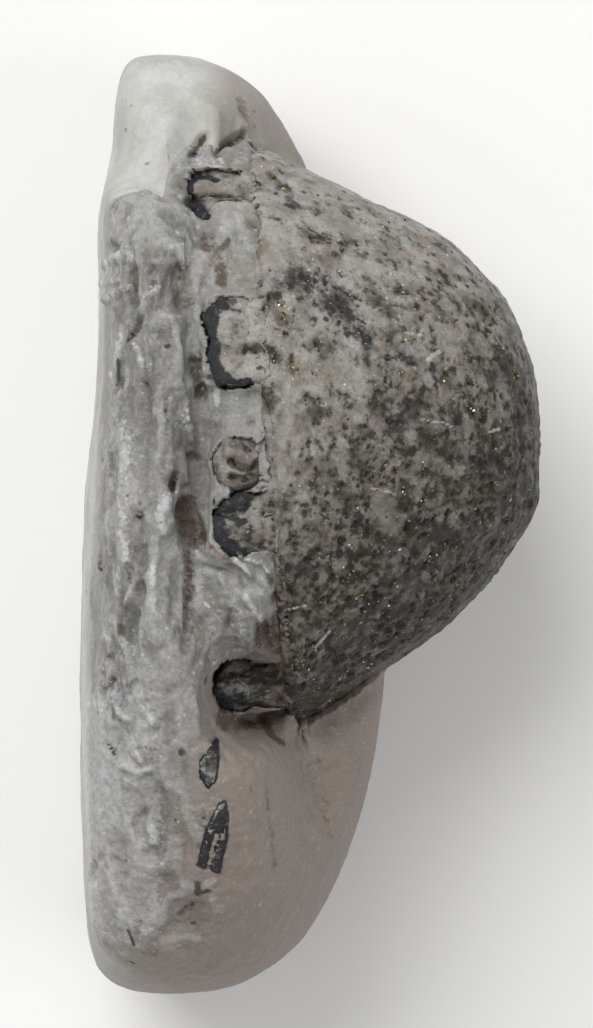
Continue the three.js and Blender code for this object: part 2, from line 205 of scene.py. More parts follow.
# Where the smooth, pale skin of the rock begins: beyond the ledge at its upper end, where the rock also steps
# down, and left of the line along its flank.
LEDGE = [
    (-16.0, 20.6), (-13.7, 20.8), (-12.5, 21.1), (-11.5, 21.4), (-10.5, 21.2), (-9.7, 20.8), (-9.4, 22.4),
    (-9.0, 23.9), (-8.3, 24.6), (-6.3, 24.2), (-5.5, 24.6), (-4.4, 25.2), (6.0, 25.2),
]
LEDGE_FADE = (-0.6, 0.2)
LEDGE_STEP = 1.3  # its height,
LEDGE_SHARPNESS = 0.3  # the width of its edge,
LEDGE_RUN = 3.5  # and how far from it the surface comes back to where it was, in millimetres
LEDGE_SIDE = (2.5, 5)
FLANK = [
    (-9.5, -30.5), (-11.4, -29.5), (-12.4, -28.9), (-13.6, -27.9), (-14.2, -27.0), (-14.6, -23.5),
    (-14.7, -8), (-14.2, -2), (-13.9, 2), (-14.0, 9), (-14.6, 12), (-15.2, 20.7),
]

# Listed relief: the line it follows on the upper face, its half width and its height, in millimetres.
ROCK_RELIEF = [
    ([(-11.1, 13.5), (-9.9, 15.0), (-9.6, 16.2), (-8.8, 16.9)], 0.5, 0.35),
    ([(-8.4, 19.0), (-8.4, 17.4), (-8.2, 16.4), (-8.0, 15.8)], 0.3, 0.3),
    ([(-9.5, 20.0), (-8.8, 19.5), (-8.3, 19.0)], 0.6, -0.45),
    ([(-13.8, 15.7), (-12.4, 15.8)], 0.4, 0.25),
    ([(-13.4, 14.6), (-11.9, 15.3)], 0.5, 0.35),
    ([(-13.5, 16.9), (-12.5, 17.4)], 0.6, 0.3),
    ([(-13.4, 18.0), (-12.4, 17.9)], 0.4, -0.3),
    ([(-11.4, 16.4), (-11.4, 14.4)], 0.8, -0.35),
    ([(-8.7, 16.2), (-8.5, 14.4)], 1.3, -0.4),
    ([(-12.7, 13.9), (-12.1, 13.3), (-11.5, 12.2)], 0.3, 0.2),
    ([(-11.0, 12.9), (-11.8, 11.9)], 0.3, -0.6),
    ([(-11.6, 11.7), (-11.2, 11.2), (-10.9, 10.2), (-10.7, 9.4)], 0.5, 0.4),
    ([(-12.5, 10.3), (-12.5, 9.0)], 0.45, -1.0),
    ([(-7.4, 10.4), (-7.1, 8.3)], 0.8, -0.55),
    ([(-8.6, 8.9), (-8.2, 8.0), (-8.1, 7.0), (-7.9, 6.2), (-7.8, 5.4)], 0.5, 0.5),
    ([(-9.7, 6.6), (-9.0, 6.7), (-8.2, 6.6)], 0.3, 0.25),
    ([(-7.8, 4.4), (-7.4, 4.3)], 0.5, -0.4),
    ([(-8.3, 4.1), (-8.2, 2.8)], 0.45, 0.35),
    ([(-8.7, 3.1), (-9.0, 2.0)], 0.35, -0.8),
    ([(-12.2, 7.0), (-12.0, 5.1), (-12.1, 2.2), (-12.2, -1.0), (-12.0, -2.3)], 0.9, 0.35),
    ([(-10.6, 8.3), (-10.5, 4.7), (-10.6, 1.5), (-10.8, -2.3)], 1.1, -0.35),
    ([(-9.2, 1.8), (-9.7, 0.8), (-9.6, -0.4)], 0.8, 0.5),
    ([(-10.2, -1.2), (-10.2, -3.6), (-10.3, -4.9), (-10.1, -7.5)], 0.7, 0.4),
    ([(-11.2, 0.7), (-11.2, 0.2)], 0.3, -0.5),
    ([(-3.05, 5.7), (-3.05, 2.3)], 0.45, -0.6),
    ([(-8.2, 0.8), (-7.7, -0.9)], 1.2, -0.7),
    ([(-7.8, -1.9), (-7.9, -4.3), (-8.0, -6.5), (-8.1, -8.1)], 0.6, -0.5),
    ([(-13.8, -2.4), (-13.7, -3.1)], 0.4, -0.6),
    ([(-11.7, -2.8), (-11.7, -3.8)], 0.3, -0.45),
    ([(-11.5, -3.8), (-11.7, -4.6), (-12.0, -5.3)], 0.4, 0.3),
    ([(-11.0, -4.3), (-11.3, -5.9), (-11.7, -7.5)], 0.9, -0.4),
    ([(-12.9, -10.2), (-13.4, -10.9), (-13.3, -11.8), (-12.8, -12.5)], 0.4, -0.45),
    ([(-12.7, -10.6), (-12.8, -11.4), (-12.5, -12.1), (-11.9, -12.6)], 0.45, 0.45),
    ([(-11.5, -10.2), (-11.1, -11.4), (-10.7, -12.2), (-10.1, -13.0)], 0.4, 0.4),
    ([(-10.7, -11.6), (-10.3, -12.4)], 0.35, -0.3),
    ([(-9.8, -12.8), (-10.0, -13.4), (-11.1, -13.7)], 0.35, -0.3),
    ([(-11.6, -14.1), (-11.5, -14.6), (-10.9, -15.5)], 0.35, 0.3),
    ([(-12.3, -15.7), (-11.2, -16.0), (-10.4, -15.8), (-10.4, -15.1), (-10.7, -14.1)], 0.4, 0.3),
    ([(-13.3, -14.3), (-12.7, -15.1), (-12.7, -15.5)], 0.3, -0.5),
    ([(-10.9, -18.7), (-11.3, -19.8), (-11.1, -20.4)], 0.5, -0.45),
    ([(-10.3, -19.5), (-10.2, -20.5)], 0.7, 0.4),
    ([(-13.8, -21.8), (-14.6, -23.4)], 0.45, -0.4),
    ([(-7.7, -10.7), (-7.5, -12.0), (-7.3, -13.5)], 0.35, 0.2),
    ([(-6.9, -8.9), (-6.3, -9.0)], 0.3, 0.25),
    ([(-4.3, -4.3), (-4.6, -3.7), (-5.8, -3.0), (-7.1, -2.8)], 0.35, -0.45),
    ([(-5.4, -2.7), (-4.3, -3.4), (-3.2, -4.1)], 0.3, -0.4),
    ([(-4.9, -2.3), (-4.4, -2.7), (-4.0, -3.4)], 0.35, 0.35),
    ([(-4.6, -2.1), (-3.2, -2.5), (-2.7, -3.3)], 0.3, 0.3),
    ([(-4.2, -4.7), (-3.8, -5.4), (-3.2, -6.4)], 0.45, 0.5),
    ([(-4.6, -5.7), (-4.5, -7.9)], 0.35, 0.3),
    ([(-4.0, -5.7), (-4.0, -8.1)], 0.4, 0.45),
    ([(-5.3, -5.7), (-5.5, -7.0)], 0.3, -0.35),
    ([(-3.0, -3.9), (-2.4, -4.9), (-2.4, -5.7)], 0.8, 0.3),
    ([(-3.2, -6.5), (-3.2, -8.2)], 0.7, -0.9),
    ([(-2.3, -4.6), (-2.3, -7.6)], 0.6, -0.6),
    ([(-6.45, 27.1), (-6.5, 25.8), (-6.55, 24.5)], 0.75, 0.45),
    ([(-4.4, 27.1), (-4.6, 26.0)], 0.9, 0.4),
    ([(-7.05, 25.5), (-7.4, 24.9), (-7.75, 24.3)], 0.5, -0.7),
    ([(-4.6, 25.7), (-5.4, 25.2), (-6.2, 24.4)], 0.55, -0.7),
    ([(-5.1, 24.1), (-5.3, 23.3), (-5.6, 22.7)], 0.3, -0.3),
    ([(-7.7, 20.9), (-7.0, 20.3)], 0.75, -1.4),
    ([(-5.9, -12.9), (-5.0, -13.5)], 0.9, -0.7),
]

# Calm places round the slivers, and colour marks: the line, its half width and its strength.
CALM = [
    ([(-6.6, -13.9), (-6.7, -17.2)], 1.7, 1.0),
    ([(-5.7, -17.9), (-6.1, -20.0), (-7.2, -22.5)], 1.8, 1.0),
]
# Brown marks: brown stains in the valleys, and painted shadow beside the knobs at the upper end, under the
# lump there and in the pocket below the last arm.
BROWN_MARKS = [
    ([(-8.7, 16.2), (-8.4, 14.4)], 1.7, 0.55),
    ([(-11.4, 16.5), (-11.4, 14.4)], 0.8, 0.5),
    ([(-10.2, 16.6), (-10.1, 15.4)], 0.6, 0.45),
    ([(-12.5, 10.5), (-12.5, 9.0)], 0.4, 1.0),
    ([(-7.4, 10.4), (-7.1, 8.3)], 0.9, 0.9),
    ([(-7.8, 4.4), (-7.4, 4.3)], 0.7, 0.9),
    ([(-8.3, 1.2), (-7.7, -1.0)], 1.5, 0.85),
    ([(-7.2, 0.2), (-6.9, -1.0)], 0.9, 0.8),
    ([(-8.0, -1.9), (-7.9, -4.3), (-8.0, -6.5)], 0.8, 0.65),
    ([(-7.8, -6.2), (-8.1, -8.1)], 0.9, 0.5),
    ([(-12.4, -6.6), (-12.3, -7.0)], 0.5, 0.8),
    ([(-12.9, -8.5), (-13.3, -8.6)], 0.5, 0.6),
    ([(-12.1, -13.2), (-11.7, -13.5)], 0.45, 0.7),
    ([(-11.7, -10.5), (-11.5, -10.2)], 0.5, 0.6),
    ([(-6.9, 18.4), (-6.2, 17.0)], 1.2, 0.65),
    ([(-5.4, 18.4), (-5.8, 17.9)], 0.5, 0.9),
    ([(-5.9, 16.6), (-5.8, 15.6)], 0.8, 0.9),
    ([(-10.1, 14.4), (-9.6, 12.5)], 1.4, 0.4),
    ([(-2.7, -3.4), (-2.2, -4.7)], 0.6, 0.8),
    ([(-3.5, -6.4), (-3.5, -7.9)], 0.45, 0.9),
    ([(-2.8, -6.6), (-2.6, -7.5), (-1.7, -8.5)], 1.4, 0.8),
    ([(-6.1, -11.6), (-5.6, -12.9), (-4.2, -13.2)], 1.3, 1.0),
    ([(-3.2, -12.9), (-2.6, -14.0), (-2.0, -14.3)], 0.9, 1.0),
    ([(-3.0, -17.0), (-2.6, -20.0), (-2.4, -22.3)], 0.9, 0.4),
    ([(-0.6, -15.6), (0.8, -18.4), (1.2, -20.3)], 1.2, 0.35),
    ([(-7.05, 25.5), (-7.4, 24.9), (-7.75, 24.3)], 0.45, 1.0),
    ([(-4.6, 25.7), (-5.4, 25.2), (-6.2, 24.4)], 0.5, 1.0),
    ([(-4.7, 28.0), (-4.5, 27.2)], 1.0, 0.6),
    ([(-8.1, 20.6), (-7.4, 20.0), (-6.7, 20.2)], 0.45, 0.8),
    ([(-4.4, 26.1), (-4.1, 26.8)], 1.4, 0.4),
    ([(-11.8, -2.8), (-11.7, -3.8)], 0.4, 0.7),
    ([(-10.7, -26.6), (-10.4, -28.3)], 1.4, 0.35),
    ([(-9.0, 16.0), (-9.2, 16.5)], 0.8, 0.4),
]
# Shade marks: painted shade in the grooves and hollows of the broken face, and a few darker patches of stone.
SHADE_MARKS = [
    ([(-9.5, 20.0), (-8.8, 19.4)], 0.9, 0.8),
    ([(-13.0, 18.3), (-12.4, 17.9)], 0.5, 0.7),
    ([(-9.3, 19.0), (-8.8, 17.4)], 1.0, 0.4),
    ([(-10.4, 13.9), (-10.5, 13.2)], 0.6, 0.8),
    ([(-10.6, 8.3), (-10.5, 4.7), (-10.6, 1.5)], 1.2, 0.6),
    ([(-8.5, 6.0), (-8.3, 5.1)], 0.7, 0.6),
    ([(-9.1, 11.8), (-8.7, 11.2)], 1.0, 0.4),
    ([(-10.8, 1.5), (-10.9, -2.3)], 1.1, 0.6),
    ([(-11.0, -4.3), (-11.3, -5.9), (-11.7, -7.5)], 1.1, 0.75),
    ([(-10.4, -7.5), (-10.3, -8.8)], 0.6, 0.5),
    ([(-12.9, -10.2), (-13.4, -10.9), (-13.3, -11.8), (-12.8, -12.5)], 0.45, 0.8),
    ([(-12.0, -12.2), (-11.3, -12.4)], 0.8, 0.6),
    ([(-11.9, -10.4), (-11.3, -10.1)], 0.6, 0.7),
    ([(-9.8, -12.8), (-10.0, -13.4), (-11.1, -13.7)], 0.4, 0.7),
    ([(-13.5, -14.3), (-12.7, -15.1)], 0.35, 0.9),
    ([(-10.5, -18.4), (-11.0, -18.9), (-11.3, -19.9)], 0.5, 0.7),
    ([(-13.8, -21.8), (-14.6, -23.4)], 0.5, 0.6),
    ([(-4.3, -4.3), (-4.6, -3.7), (-5.8, -3.0), (-7.1, -2.8)], 0.3, 0.55),
    ([(-5.4, -2.7), (-4.3, -3.4), (-3.2, -4.1)], 0.25, 0.6),
    ([(-5.3, -5.7), (-5.5, -7.0)], 0.3, 0.5),
    ([(-1.9, -2.3), (-1.7, -4.9), (-1.6, -7.5)], 0.5, 0.9),
    ([(-6.0, -4.9), (-5.8, -2.3)], 0.7, 0.4),
]
# Black marks: painted shade in cracks, holes and the empty socket of an arm, and a few dark spots of stone.
BLACK_MARKS = [
    ([(-7.7, 20.95), (-7.0, 20.4)], 0.75, 1.0),
    ([(-11.0, 12.9), (-11.8, 11.9)], 0.25, 1.0),
    ([(-8.7, 3.1), (-9.0, 2.0)], 0.3, 1.0),
    ([(-9.3, 11.4), (-9.2, 11.4)], 0.3, 1.0),
    ([(-9.4, 7.3)], 0.3, 0.9),
    ([(-10.6, 9.1), (-10.5, 8.9)], 0.3, 0.8),
    ([(-12.5, 10.2), (-12.5, 9.3)], 0.3, 0.8),
    ([(-11.2, 0.7), (-11.2, 0.2)], 0.3, 1.0),
    ([(-11.9, 1.8), (-11.8, 1.8)], 0.2, 0.7),
    ([(-9.6, 0.2)], 0.2, 0.7),
    ([(-7.8, -1.9)], 0.35, 0.8),
    ([(-13.8, -2.5), (-13.7, -3.0)], 0.25, 0.9),
    ([(-8.4, -14.7), (-8.4, -14.8)], 0.4, 0.9),
    ([(-13.9, -12.3)], 0.2, 0.9),
    ([(-12.0, -26.6), (-11.8, -27.1), (-11.6, -27.6)], 0.25, 1.0),
    ([(-11.9, -28.8), (-11.7, -28.9)], 0.25, 0.9),
    ([(-7.4, -23.4), (-7.4, -24.1)], 0.4, 1.0),
    ([(-7.1, -24.0), (-6.7, -23.9)], 0.3, 1.0),
    ([(-7.8, -24.7), (-7.8, -24.9)], 0.3, 0.8),
    ([(-8.6, -25.5), (-8.2, -25.0)], 0.45, 0.55),
    ([(-7.8, -26.1), (-7.6, -26.1)], 0.25, 0.9),
    ([(-6.8, -10.0), (-6.9, -10.3)], 0.25, 0.9),
    ([(-13.2, -14.4), (-12.7, -15.1)], 0.2, 1.0),
    ([(-8.8, -19.2), (-8.8, -19.3)], 0.3, 0.6),
    ([(-4.0, -17.2), (-3.9, -17.3)], 0.4, 0.5),
]
# White marks: pale veins and flakes of the stone, and painted highlights and glints along the ridges of the
# broken face.
WHITE_MARKS = [
    ([(-7.2, 23.5), (-5.9, 23.6)], 1.1, 0.45),
    ([(-13.5, 16.9), (-12.5, 17.4)], 0.6, 0.8),
    ([(-13.8, 15.7), (-12.4, 15.8)], 0.4, 0.6),
    ([(-13.4, 14.6), (-11.9, 15.3)], 0.6, 0.6),
    ([(-13.6, 16.5), (-12.7, 16.6)], 0.8, 0.4),
    ([(-11.9, 17.7), (-11.6, 17.2)], 0.5, 0.5),
    ([(-13.0, 20.3), (-12.8, 19.6)], 0.4, 0.5),
    ([(-9.1, 17.9), (-8.9, 17.9)], 0.35, 0.9),
    ([(-8.8, 18.9), (-8.6, 18.8)], 0.25, 0.7),
    ([(-8.4, 18.0), (-8.2, 16.5)], 0.2, 0.7),
    ([(-10.4, 14.9), (-9.9, 15.2)], 0.4, 0.6),
    ([(-12.7, 10.8), (-12.3, 11.9), (-12.3, 12.3)], 0.7, 0.6),
    ([(-11.5, 11.7), (-11.1, 11.1), (-10.9, 10.2)], 0.35, 0.7),
    ([(-13.1, 9.8), (-13.0, 9.7)], 0.4, 0.9),
    ([(-6.1, 8.6), (-6.1, 7.8)], 0.4, 1.0),
    ([(-8.1, 7.7), (-8.0, 6.2)], 0.45, 0.45),
    ([(-12.4, 6.4), (-11.9, 5.4), (-12.0, 4.0)], 0.9, 0.6),
    ([(-12.1, 3.5), (-12.2, 1.9)], 0.7, 0.5),
    ([(-13.4, 5.4), (-13.3, 4.3), (-13.6, 3.5)], 0.25, 0.6),
    ([(-9.4, 1.5), (-9.7, 0.6), (-9.6, -0.4)], 0.7, 0.8),
    ([(-12.5, 1.5), (-12.1, 0.2), (-12.2, -0.7)], 0.5, 0.7),
    ([(-12.1, -1.0), (-12.0, -2.3)], 0.5, 0.7),
    ([(-10.2, -2.7), (-10.2, -3.9)], 0.35, 0.9),
    ([(-10.3, -4.3), (-10.1, -5.7)], 0.45, 0.6),
    ([(-12.5, -3.0), (-12.6, -4.3)], 0.7, 0.5),
    ([(-11.8, -4.3), (-12.1, -5.0)], 0.4, 0.7),
    ([(-13.5, -7.0), (-13.2, -7.7)], 0.5, 0.6),
    ([(-7.4, -1.8), (-7.3, -2.2)], 0.25, 0.9),
    ([(-6.9, -5.1), (-6.6, -5.4)], 0.2, 1.0),
    ([(-12.7, -10.6), (-12.8, -11.4), (-12.5, -12.1), (-11.9, -12.6)], 0.35, 0.8),
    ([(-11.0, -11.6), (-10.3, -12.7)], 0.22, 0.9),
    ([(-12.2, -7.5), (-12.1, -7.8)], 0.4, 0.5),
    ([(-14.1, -11.8), (-13.5, -11.6)], 0.8, 0.5),
    ([(-11.5, -14.5), (-10.9, -15.5)], 0.22, 0.9),
    ([(-12.3, -15.7), (-11.2, -16.0), (-10.4, -15.8)], 0.4, 0.7),
    ([(-13.6, -16.6), (-13.2, -16.6)], 0.4, 0.9),
    ([(-12.0, -16.6), (-11.4, -16.9)], 0.6, 0.6),
    ([(-7.2, -8.9), (-7.0, -9.1)], 0.25, 0.9),
    ([(-6.4, -9.1), (-6.2, -8.9)], 0.25, 1.0),
    ([(-4.9, -2.3), (-4.4, -2.7), (-4.0, -3.4)], 0.28, 1.0),
    ([(-4.3, -2.2), (-3.2, -2.5), (-2.7, -3.2)], 0.18, 0.9),
    ([(-4.2, -4.7), (-3.8, -5.4), (-3.2, -6.2)], 0.35, 0.7),
    ([(-4.6, -5.9), (-4.5, -7.5)], 0.3, 0.6),
    ([(-10.5, -19.7), (-10.2, -20.7)], 0.6, 0.8),
    ([(-13.9, -19.0), (-13.7, -18.8)], 0.6, 0.5),
    ([(-14.6, -24.0), (-14.1, -23.6)], 0.5, 0.7),
    ([(-6.0, -3.2), (-5.8, -3.6)], 0.4, 0.5),
    ([(-4.6, -5.0), (-4.4, -8.2)], 1.3, 0.45),
    ([(-6.2, -6.0), (-6.4, -8.5)], 0.8, 0.4),
]
PINK_MARKS = [
    ([(-6.8, -23.4), (-6.4, -23.2)], 0.45, 1.0),
    ([(-6.7, -1.5), (-6.0, -2.1)], 0.5, 1.0),
    ([(-3.2, -9.5), (-2.0, -8.9)], 0.7, 0.6),
]
SKIN_PALE = (0.52, 0.525, 0.50, 1)
SKIN_GREY = (0.36, 0.355, 0.325, 1)
ROCK_GREY = (0.278, 0.28, 0.264, 1)
ROCK_LIGHT = (0.385, 0.392, 0.37, 1)
ROCK_PALE = (0.45, 0.455, 0.44, 1)
ROCK_TAN = (0.265, 0.235, 0.21, 1)
WORN_TAN_AND_SHADE = (0.225, 0.188, 0.162, 1)
ROCK_OLIVE = (0.245, 0.24, 0.195, 1)
ROCK_MAUVE = (0.235, 0.198, 0.18, 1)
ROCK_SHADE = (0.1, 0.095, 0.083, 1)
ROCK_BROWN = (0.085, 0.06, 0.04, 1)
ROCK_BLACK = (0.022, 0.021, 0.02, 1)
# a pale frost of the stone, also laid as painted glints
ROCK_FROST_AND_GLINT = (0.6, 0.61, 0.62, 1)
ROCK_PINK = (0.42, 0.31, 0.27, 1)
ROCK_COATS = [  # painted layer, colour and strength, and the noise of its edge: size, fray and softness
    # painted light on the ridge crests, and painted shade in the troughs
    ("crest", ROCK_PALE, 0.45, 0.8, 1.0, 0.8),
    ("trough", ROCK_SHADE, 0.35, 0.8, 1.0, 0.8),
    # painted shade in the grooves and hollows
    ("shade", ROCK_SHADE, 0.65, 0.8, 1.2, 0.8),
    # brown stains, and painted shadow in hollows and under lumps
    ("brown", ROCK_BROWN, 1.0, 0.55, 1.7, 0.65),
    ("pink", ROCK_PINK, 0.7, 0.5, 0.9, 0.5),
    ("flaky", ROCK_FROST_AND_GLINT, 0.32, 0.35, 2.6, 0.5),
    # pale veins and flakes, and painted highlights and glints
    ("white", ROCK_PALE, 0.65, 0.9, 1.2, 0.9),
    ("white", ROCK_FROST_AND_GLINT, 0.65, 0.4, 2.4, 0.6),
    # painted shade in cracks and holes, and dark spots
    ("black", ROCK_BLACK, 0.9, 0.35, 1.3, 0.5),
]


def only(piece):
    """Makes a piece the one that is selected and active."""
    bpy.ops.object.select_all(action="DESELECT")
    piece.select_set(True)
    bpy.context.view_layer.objects.active = piece


def remade(piece, tool, chosen=None, **settings):
    """Uses a mesh tool on a whole piece, or on the faces whose corners are all among the chosen vertices."""
    only(piece)
    bpy.ops.object.mode_set(mode="EDIT")
    bpy.ops.mesh.select_all(action="SELECT")
    if chosen is not None:
        bpy.ops.mesh.select_mode(type="FACE")
        bpy.ops.mesh.select_all(action="DESELECT")
        bpy.ops.object.mode_set(mode="OBJECT")
        corners = np.empty(len(piece.data.loops), np.int32)
        piece.data.loops.foreach_get("vertex_index", corners)
        starts = np.empty(len(piece.data.polygons), np.int32)
        piece.data.polygons.foreach_get("loop_start", starts)
        piece.data.polygons.foreach_set("select", np.logical_and.reduceat(chosen[corners], starts))
        bpy.ops.object.mode_set(mode="EDIT")
    tool(**settings)
    bpy.ops.object.mode_set(mode="OBJECT")


def copy_of(node, name):
    """A piece with the surface of one of the model's nodes, its loose triangles merged into a closed skin."""
    piece = bpy.data.objects.new(name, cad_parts[node].data.copy())
    bpy.context.scene.collection.objects.link(piece)
    piece.data.materials.clear()
    remade(piece, bpy.ops.mesh.remove_doubles, threshold=MERGED)
    bpy.ops.object.shade_smooth()
    return piece


def shaped(piece, kind, **settings):
    """Adds a modifier to a piece and applies it."""
    only(piece)
    bpy.ops.object.modifier_add(type=kind)
    modifier = piece.modifiers[-1]
    for setting, value in settings.items():
        setattr(modifier, setting, value)
    bpy.ops.object.modifier_apply(modifier=modifier.name)


def voxel_skin(piece, voxel, rounds):
    """Gives a piece one even, closed skin and smooths its flat facets away."""
    shaped(piece, "REMESH", mode="VOXEL", voxel_size=voxel, use_smooth_shade=True)
    shaped(piece, "SMOOTH", factor=SMOOTHING, iterations=rounds)


def places(piece):
    """Where each vertex of a piece lies."""
    flat = np.empty(3 * len(piece.data.vertices), np.float32)
    piece.data.vertices.foreach_get("co", flat)
    return flat.reshape(-1, 3)


def facing(piece):
    """Which way the surface of a piece faces at each vertex."""
    flat = np.empty(3 * len(piece.data.vertices), np.float32)
    piece.data.vertex_normals.foreach_get("vector", flat)
    return flat.reshape(-1, 3)


def put(piece, points):
    """Moves the vertices of a piece to new places."""
    piece.data.vertices.foreach_set("co", points.astype(np.float32).ravel())
    piece.data.update()


def tree_of(piece):
    """A piece's surface, ready to be searched."""
    bpy.context.view_layer.update()
    return BVHTree.FromObject(piece, bpy.context.evaluated_depsgraph_get())


def top_at(tree, x, y):
    """The highest point of a surface at x and y, or None beside it."""
    return tree.ray_cast(Vector((x, y, HIGHEST)), DOWN)[0]


def ramp(values, low, high, wider=0.0):
    """0 up to low, 1 from high on, and smooth in between."""
    low, high = low - wider, high + wider
    share = np.clip((values - low) / (high - low), 0, 1)
    return share * share * (3 - 2 * share)


def nearness(points, tree, line, reach):
    """1 on a line of (x, y) millimetres laid over a piece from above, falling to 0 at the reach round it."""
    lowest = np.full(len(points), np.inf)
    corners = [Vector((x * MM, y * MM, 0)) for x, y in line]
    for start, end in zip(corners, corners[1:] or corners):
        steps = max(1, math.ceil((end - start).length / (LINE_STEP * reach)))
        for step in range(steps + 1):
            spot = start.lerp(end, step / steps)
            top = top_at(tree, spot.x, spot.y)
            if top is not None:
                lowest = np.minimum(lowest, ((points - np.array(top)) ** 2).sum(axis=1))
    return np.clip(1 - lowest / reach**2, 0, 1) ** 2


def traced(piece, marks):
    """The strongest at each vertex of some marks, each a line, its half width and its strength."""
    points, tree = places(piece), tree_of(piece)
    values = np.zeros(len(points))
    for line, reach, strength in marks:
        values = np.maximum(values, strength * nearness(points, tree, line, reach * MM))
    return values


def pressed(piece, relief):
    """Raises or sinks a piece's surface along each line of a list of relief."""
    points, tree = places(piece), tree_of(piece)
    rise = np.zeros(len(points))
    for line, reach, height in relief:
        rise += height * MM * nearness(points, tree, line, reach * MM)
    put(piece, points + rise[:, None] * facing(piece))


def painted(piece, **layers):
    """Stores layers that a piece's material reads: a value for each vertex, or one for all."""
    for name, values in layers.items():
        attribute = piece.data.attributes.new(name, "FLOAT", "POINT")
        attribute.data.foreach_set("value", np.full(len(attribute.data), values, np.float32))


def past(points, line):
    """How far points lie beyond a line of (x, y) millimetres that crosses the piece, seen from above."""
    flat = points[:, :2] / MM
    corners = np.array(line)
    gap = np.full(len(flat), np.inf)
    for start, end in zip(corners, corners[1:]):
        way = end - start
        share = np.clip((flat - start) @ way / (way @ way), 0, 1)
        gap = np.minimum(gap, np.linalg.norm(flat - start - share[:, None] * way, axis=1))
    side = np.sign(flat[:, 1] - np.interp(flat[:, 0], corners[:, 0], corners[:, 1]))
    return gap * side


def crests(points, size, stretch):
    """Noise from 0 to about 1 with sharp crests, of a given size and drawn out along the specimen."""
    drawn_out = points / size * np.array([1, 1 / stretch, 1])
    drops = [abs(noise.fractal(Vector(point), *CREST_FRACTAL)) for point in drawn_out]
    return np.array([1 - drop * CREST_CONTRAST for drop in drops])


def masked(piece, name, shares):
    """Makes a vertex group that holds a share for each vertex, in steps of a twentieth."""
    group = piece.vertex_groups.new(name=name)
    levels = np.round(np.asarray(shares) * SHARE_STEPS)
    for level in range(1, SHARE_STEPS + 1):
        found = np.flatnonzero(levels == level)
        if len(found):
            group.add(found.tolist(), level / SHARE_STEPS, "REPLACE")


def roughened(piece, kind, size, height, group="", finer=2):
    """Moves a piece's surface in and out by clouds or cells of a size and height in millimetres."""
    texture = bpy.data.textures.new(piece.name + "_relief", kind)
    texture.noise_scale = size * MM
    if kind == "CLOUDS":
        texture.noise_depth = finer
    settings = {"texture": texture, "texture_coords": "LOCAL", "vertex_group": group}
    shaped(piece, "DISPLACE", strength=height * MM, mid_level=0.5, **settings)


def within(points, x, y, radius):
    """Which points lie in a circle of millimetres, seen from above."""
    return np.hypot(points[:, 0] - x * MM, points[:, 1] - y * MM) < radius * MM


def uncovered(points):
    """Which points lie outside the circles where rock laps over the fossil."""
    return ~np.any([within(points, *circle) for circle in STILL_COVERED], axis=0)


def sunk(piece, node, reach, depth, taper=0.0, pull=0.0, side=1.0, lip_run=0.0):
    """Draws a skin in under the surface of a node wherever it lies within reach, and says which points.
    Beside the node, rather than over it, only a share of the reach counts, and the lip is cut down."""
    original = copy_of(node, "original")
    tree = tree_of(original)
    low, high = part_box(node)
    points = places(piece)
    margin = max(reach + taper, lip_run)
    near = np.all((points > np.array(low) - margin) & (points < np.array(high) + margin), axis=1)
    under = np.zeros(len(points), bool)
    for i in np.flatnonzero(near & uncovered(points)):
        point = Vector(points[i])
        foot, normal, _, distance = tree.find_nearest(point)
        if (point - foot).dot(normal) < 0:
            distance = -distance
        beside = side < 1 and normal.z <= SIDE_SLOPE
        if distance < reach * (side if beside else 1):
            points[i] = foot - normal * depth
            under[i] = True
        elif beside and distance < lip_run:
            edge = top_at(tree, foot.x - EDGE_INSET * normal.x, foot.y - EDGE_INSET * normal.y)
            if edge is not None:
                points[i, 2] = min(points[i, 2], edge.z - LIP + LIP_SLOPE * distance)
        elif taper and distance < reach + taper:
            points[i] -= (point - foot) * pull * (1 - max(0, distance - reach) / taper) ** 2
    put(piece, points)
    bpy.data.objects.remove(original)
    return under


def picked(skin, piece, margins=(0.0,), kept=None, around=None):
    """Lowers a skin under a finished piece wherever it lies over it, seen from above, or just round it, but
    leaves it whole over another node that is kept covered, and outside a circle if there is one."""
    tree = tree_of(piece)
    cover = copy_of(kept, "cover") if kept else None
    cover_tree = tree_of(cover) if kept else None
    low, high = places(piece).min(axis=0), places(piece).max(axis=0)
    points = places(skin)
    near = np.all(points > low - PICKED_MARGIN, axis=1) & uncovered(points)
    near &= np.all(points[:, :2] < high[:2] + PICKED_MARGIN, axis=1)
    if around:
        near &= within(points, *around)
    for i in np.flatnonzero(near):
        if kept and top_at(cover_tree, *points[i, :2]):
            continue
        for margin in margins:
            for turn in range(PICKED_SIDES if margin else 1):
                angle = turn * math.tau / PICKED_SIDES
                aside = Vector((margin * math.cos(angle), margin * math.sin(angle)))
                top = top_at(tree, *(Vector(points[i, :2]) + aside))
                if top is not None:
                    points[i, 2] = min(points[i, 2], top.z - PICKED_DEPTH)
    put(skin, points)
    if kept:
        bpy.data.objects.remove(cover)


# One skin is laid over the lump, the fossil grown a little, and the stone under the cup's flank.
rock = copy_of("matrix", "weathered_rock")
fillers = []
for node in BURIED_IN_ROCK + SLIVERS:
    filler = copy_of(node, "filler")
    shaped(filler, "DISPLACE", strength=SLIVER_REACH if node in SLIVERS else FILLER_GROWTH, mid_level=0)
    fillers.append(filler)
bpy.ops.mesh.primitive_uv_sphere_add(segments=32, ring_count=16, radius=MM, location=FLANK_BODY)
flank_body = bpy.context.object
flank_body.scale = FLANK_BODY_SIZE
flank_body.rotation_euler = (0, 0, FLANK_TURN)
only(rock)
for filler in fillers + [flank_body]:
    filler.select_set(True)
bpy.ops.object.join()
voxel_skin(rock, ROCK_VOXEL, rounds=8)

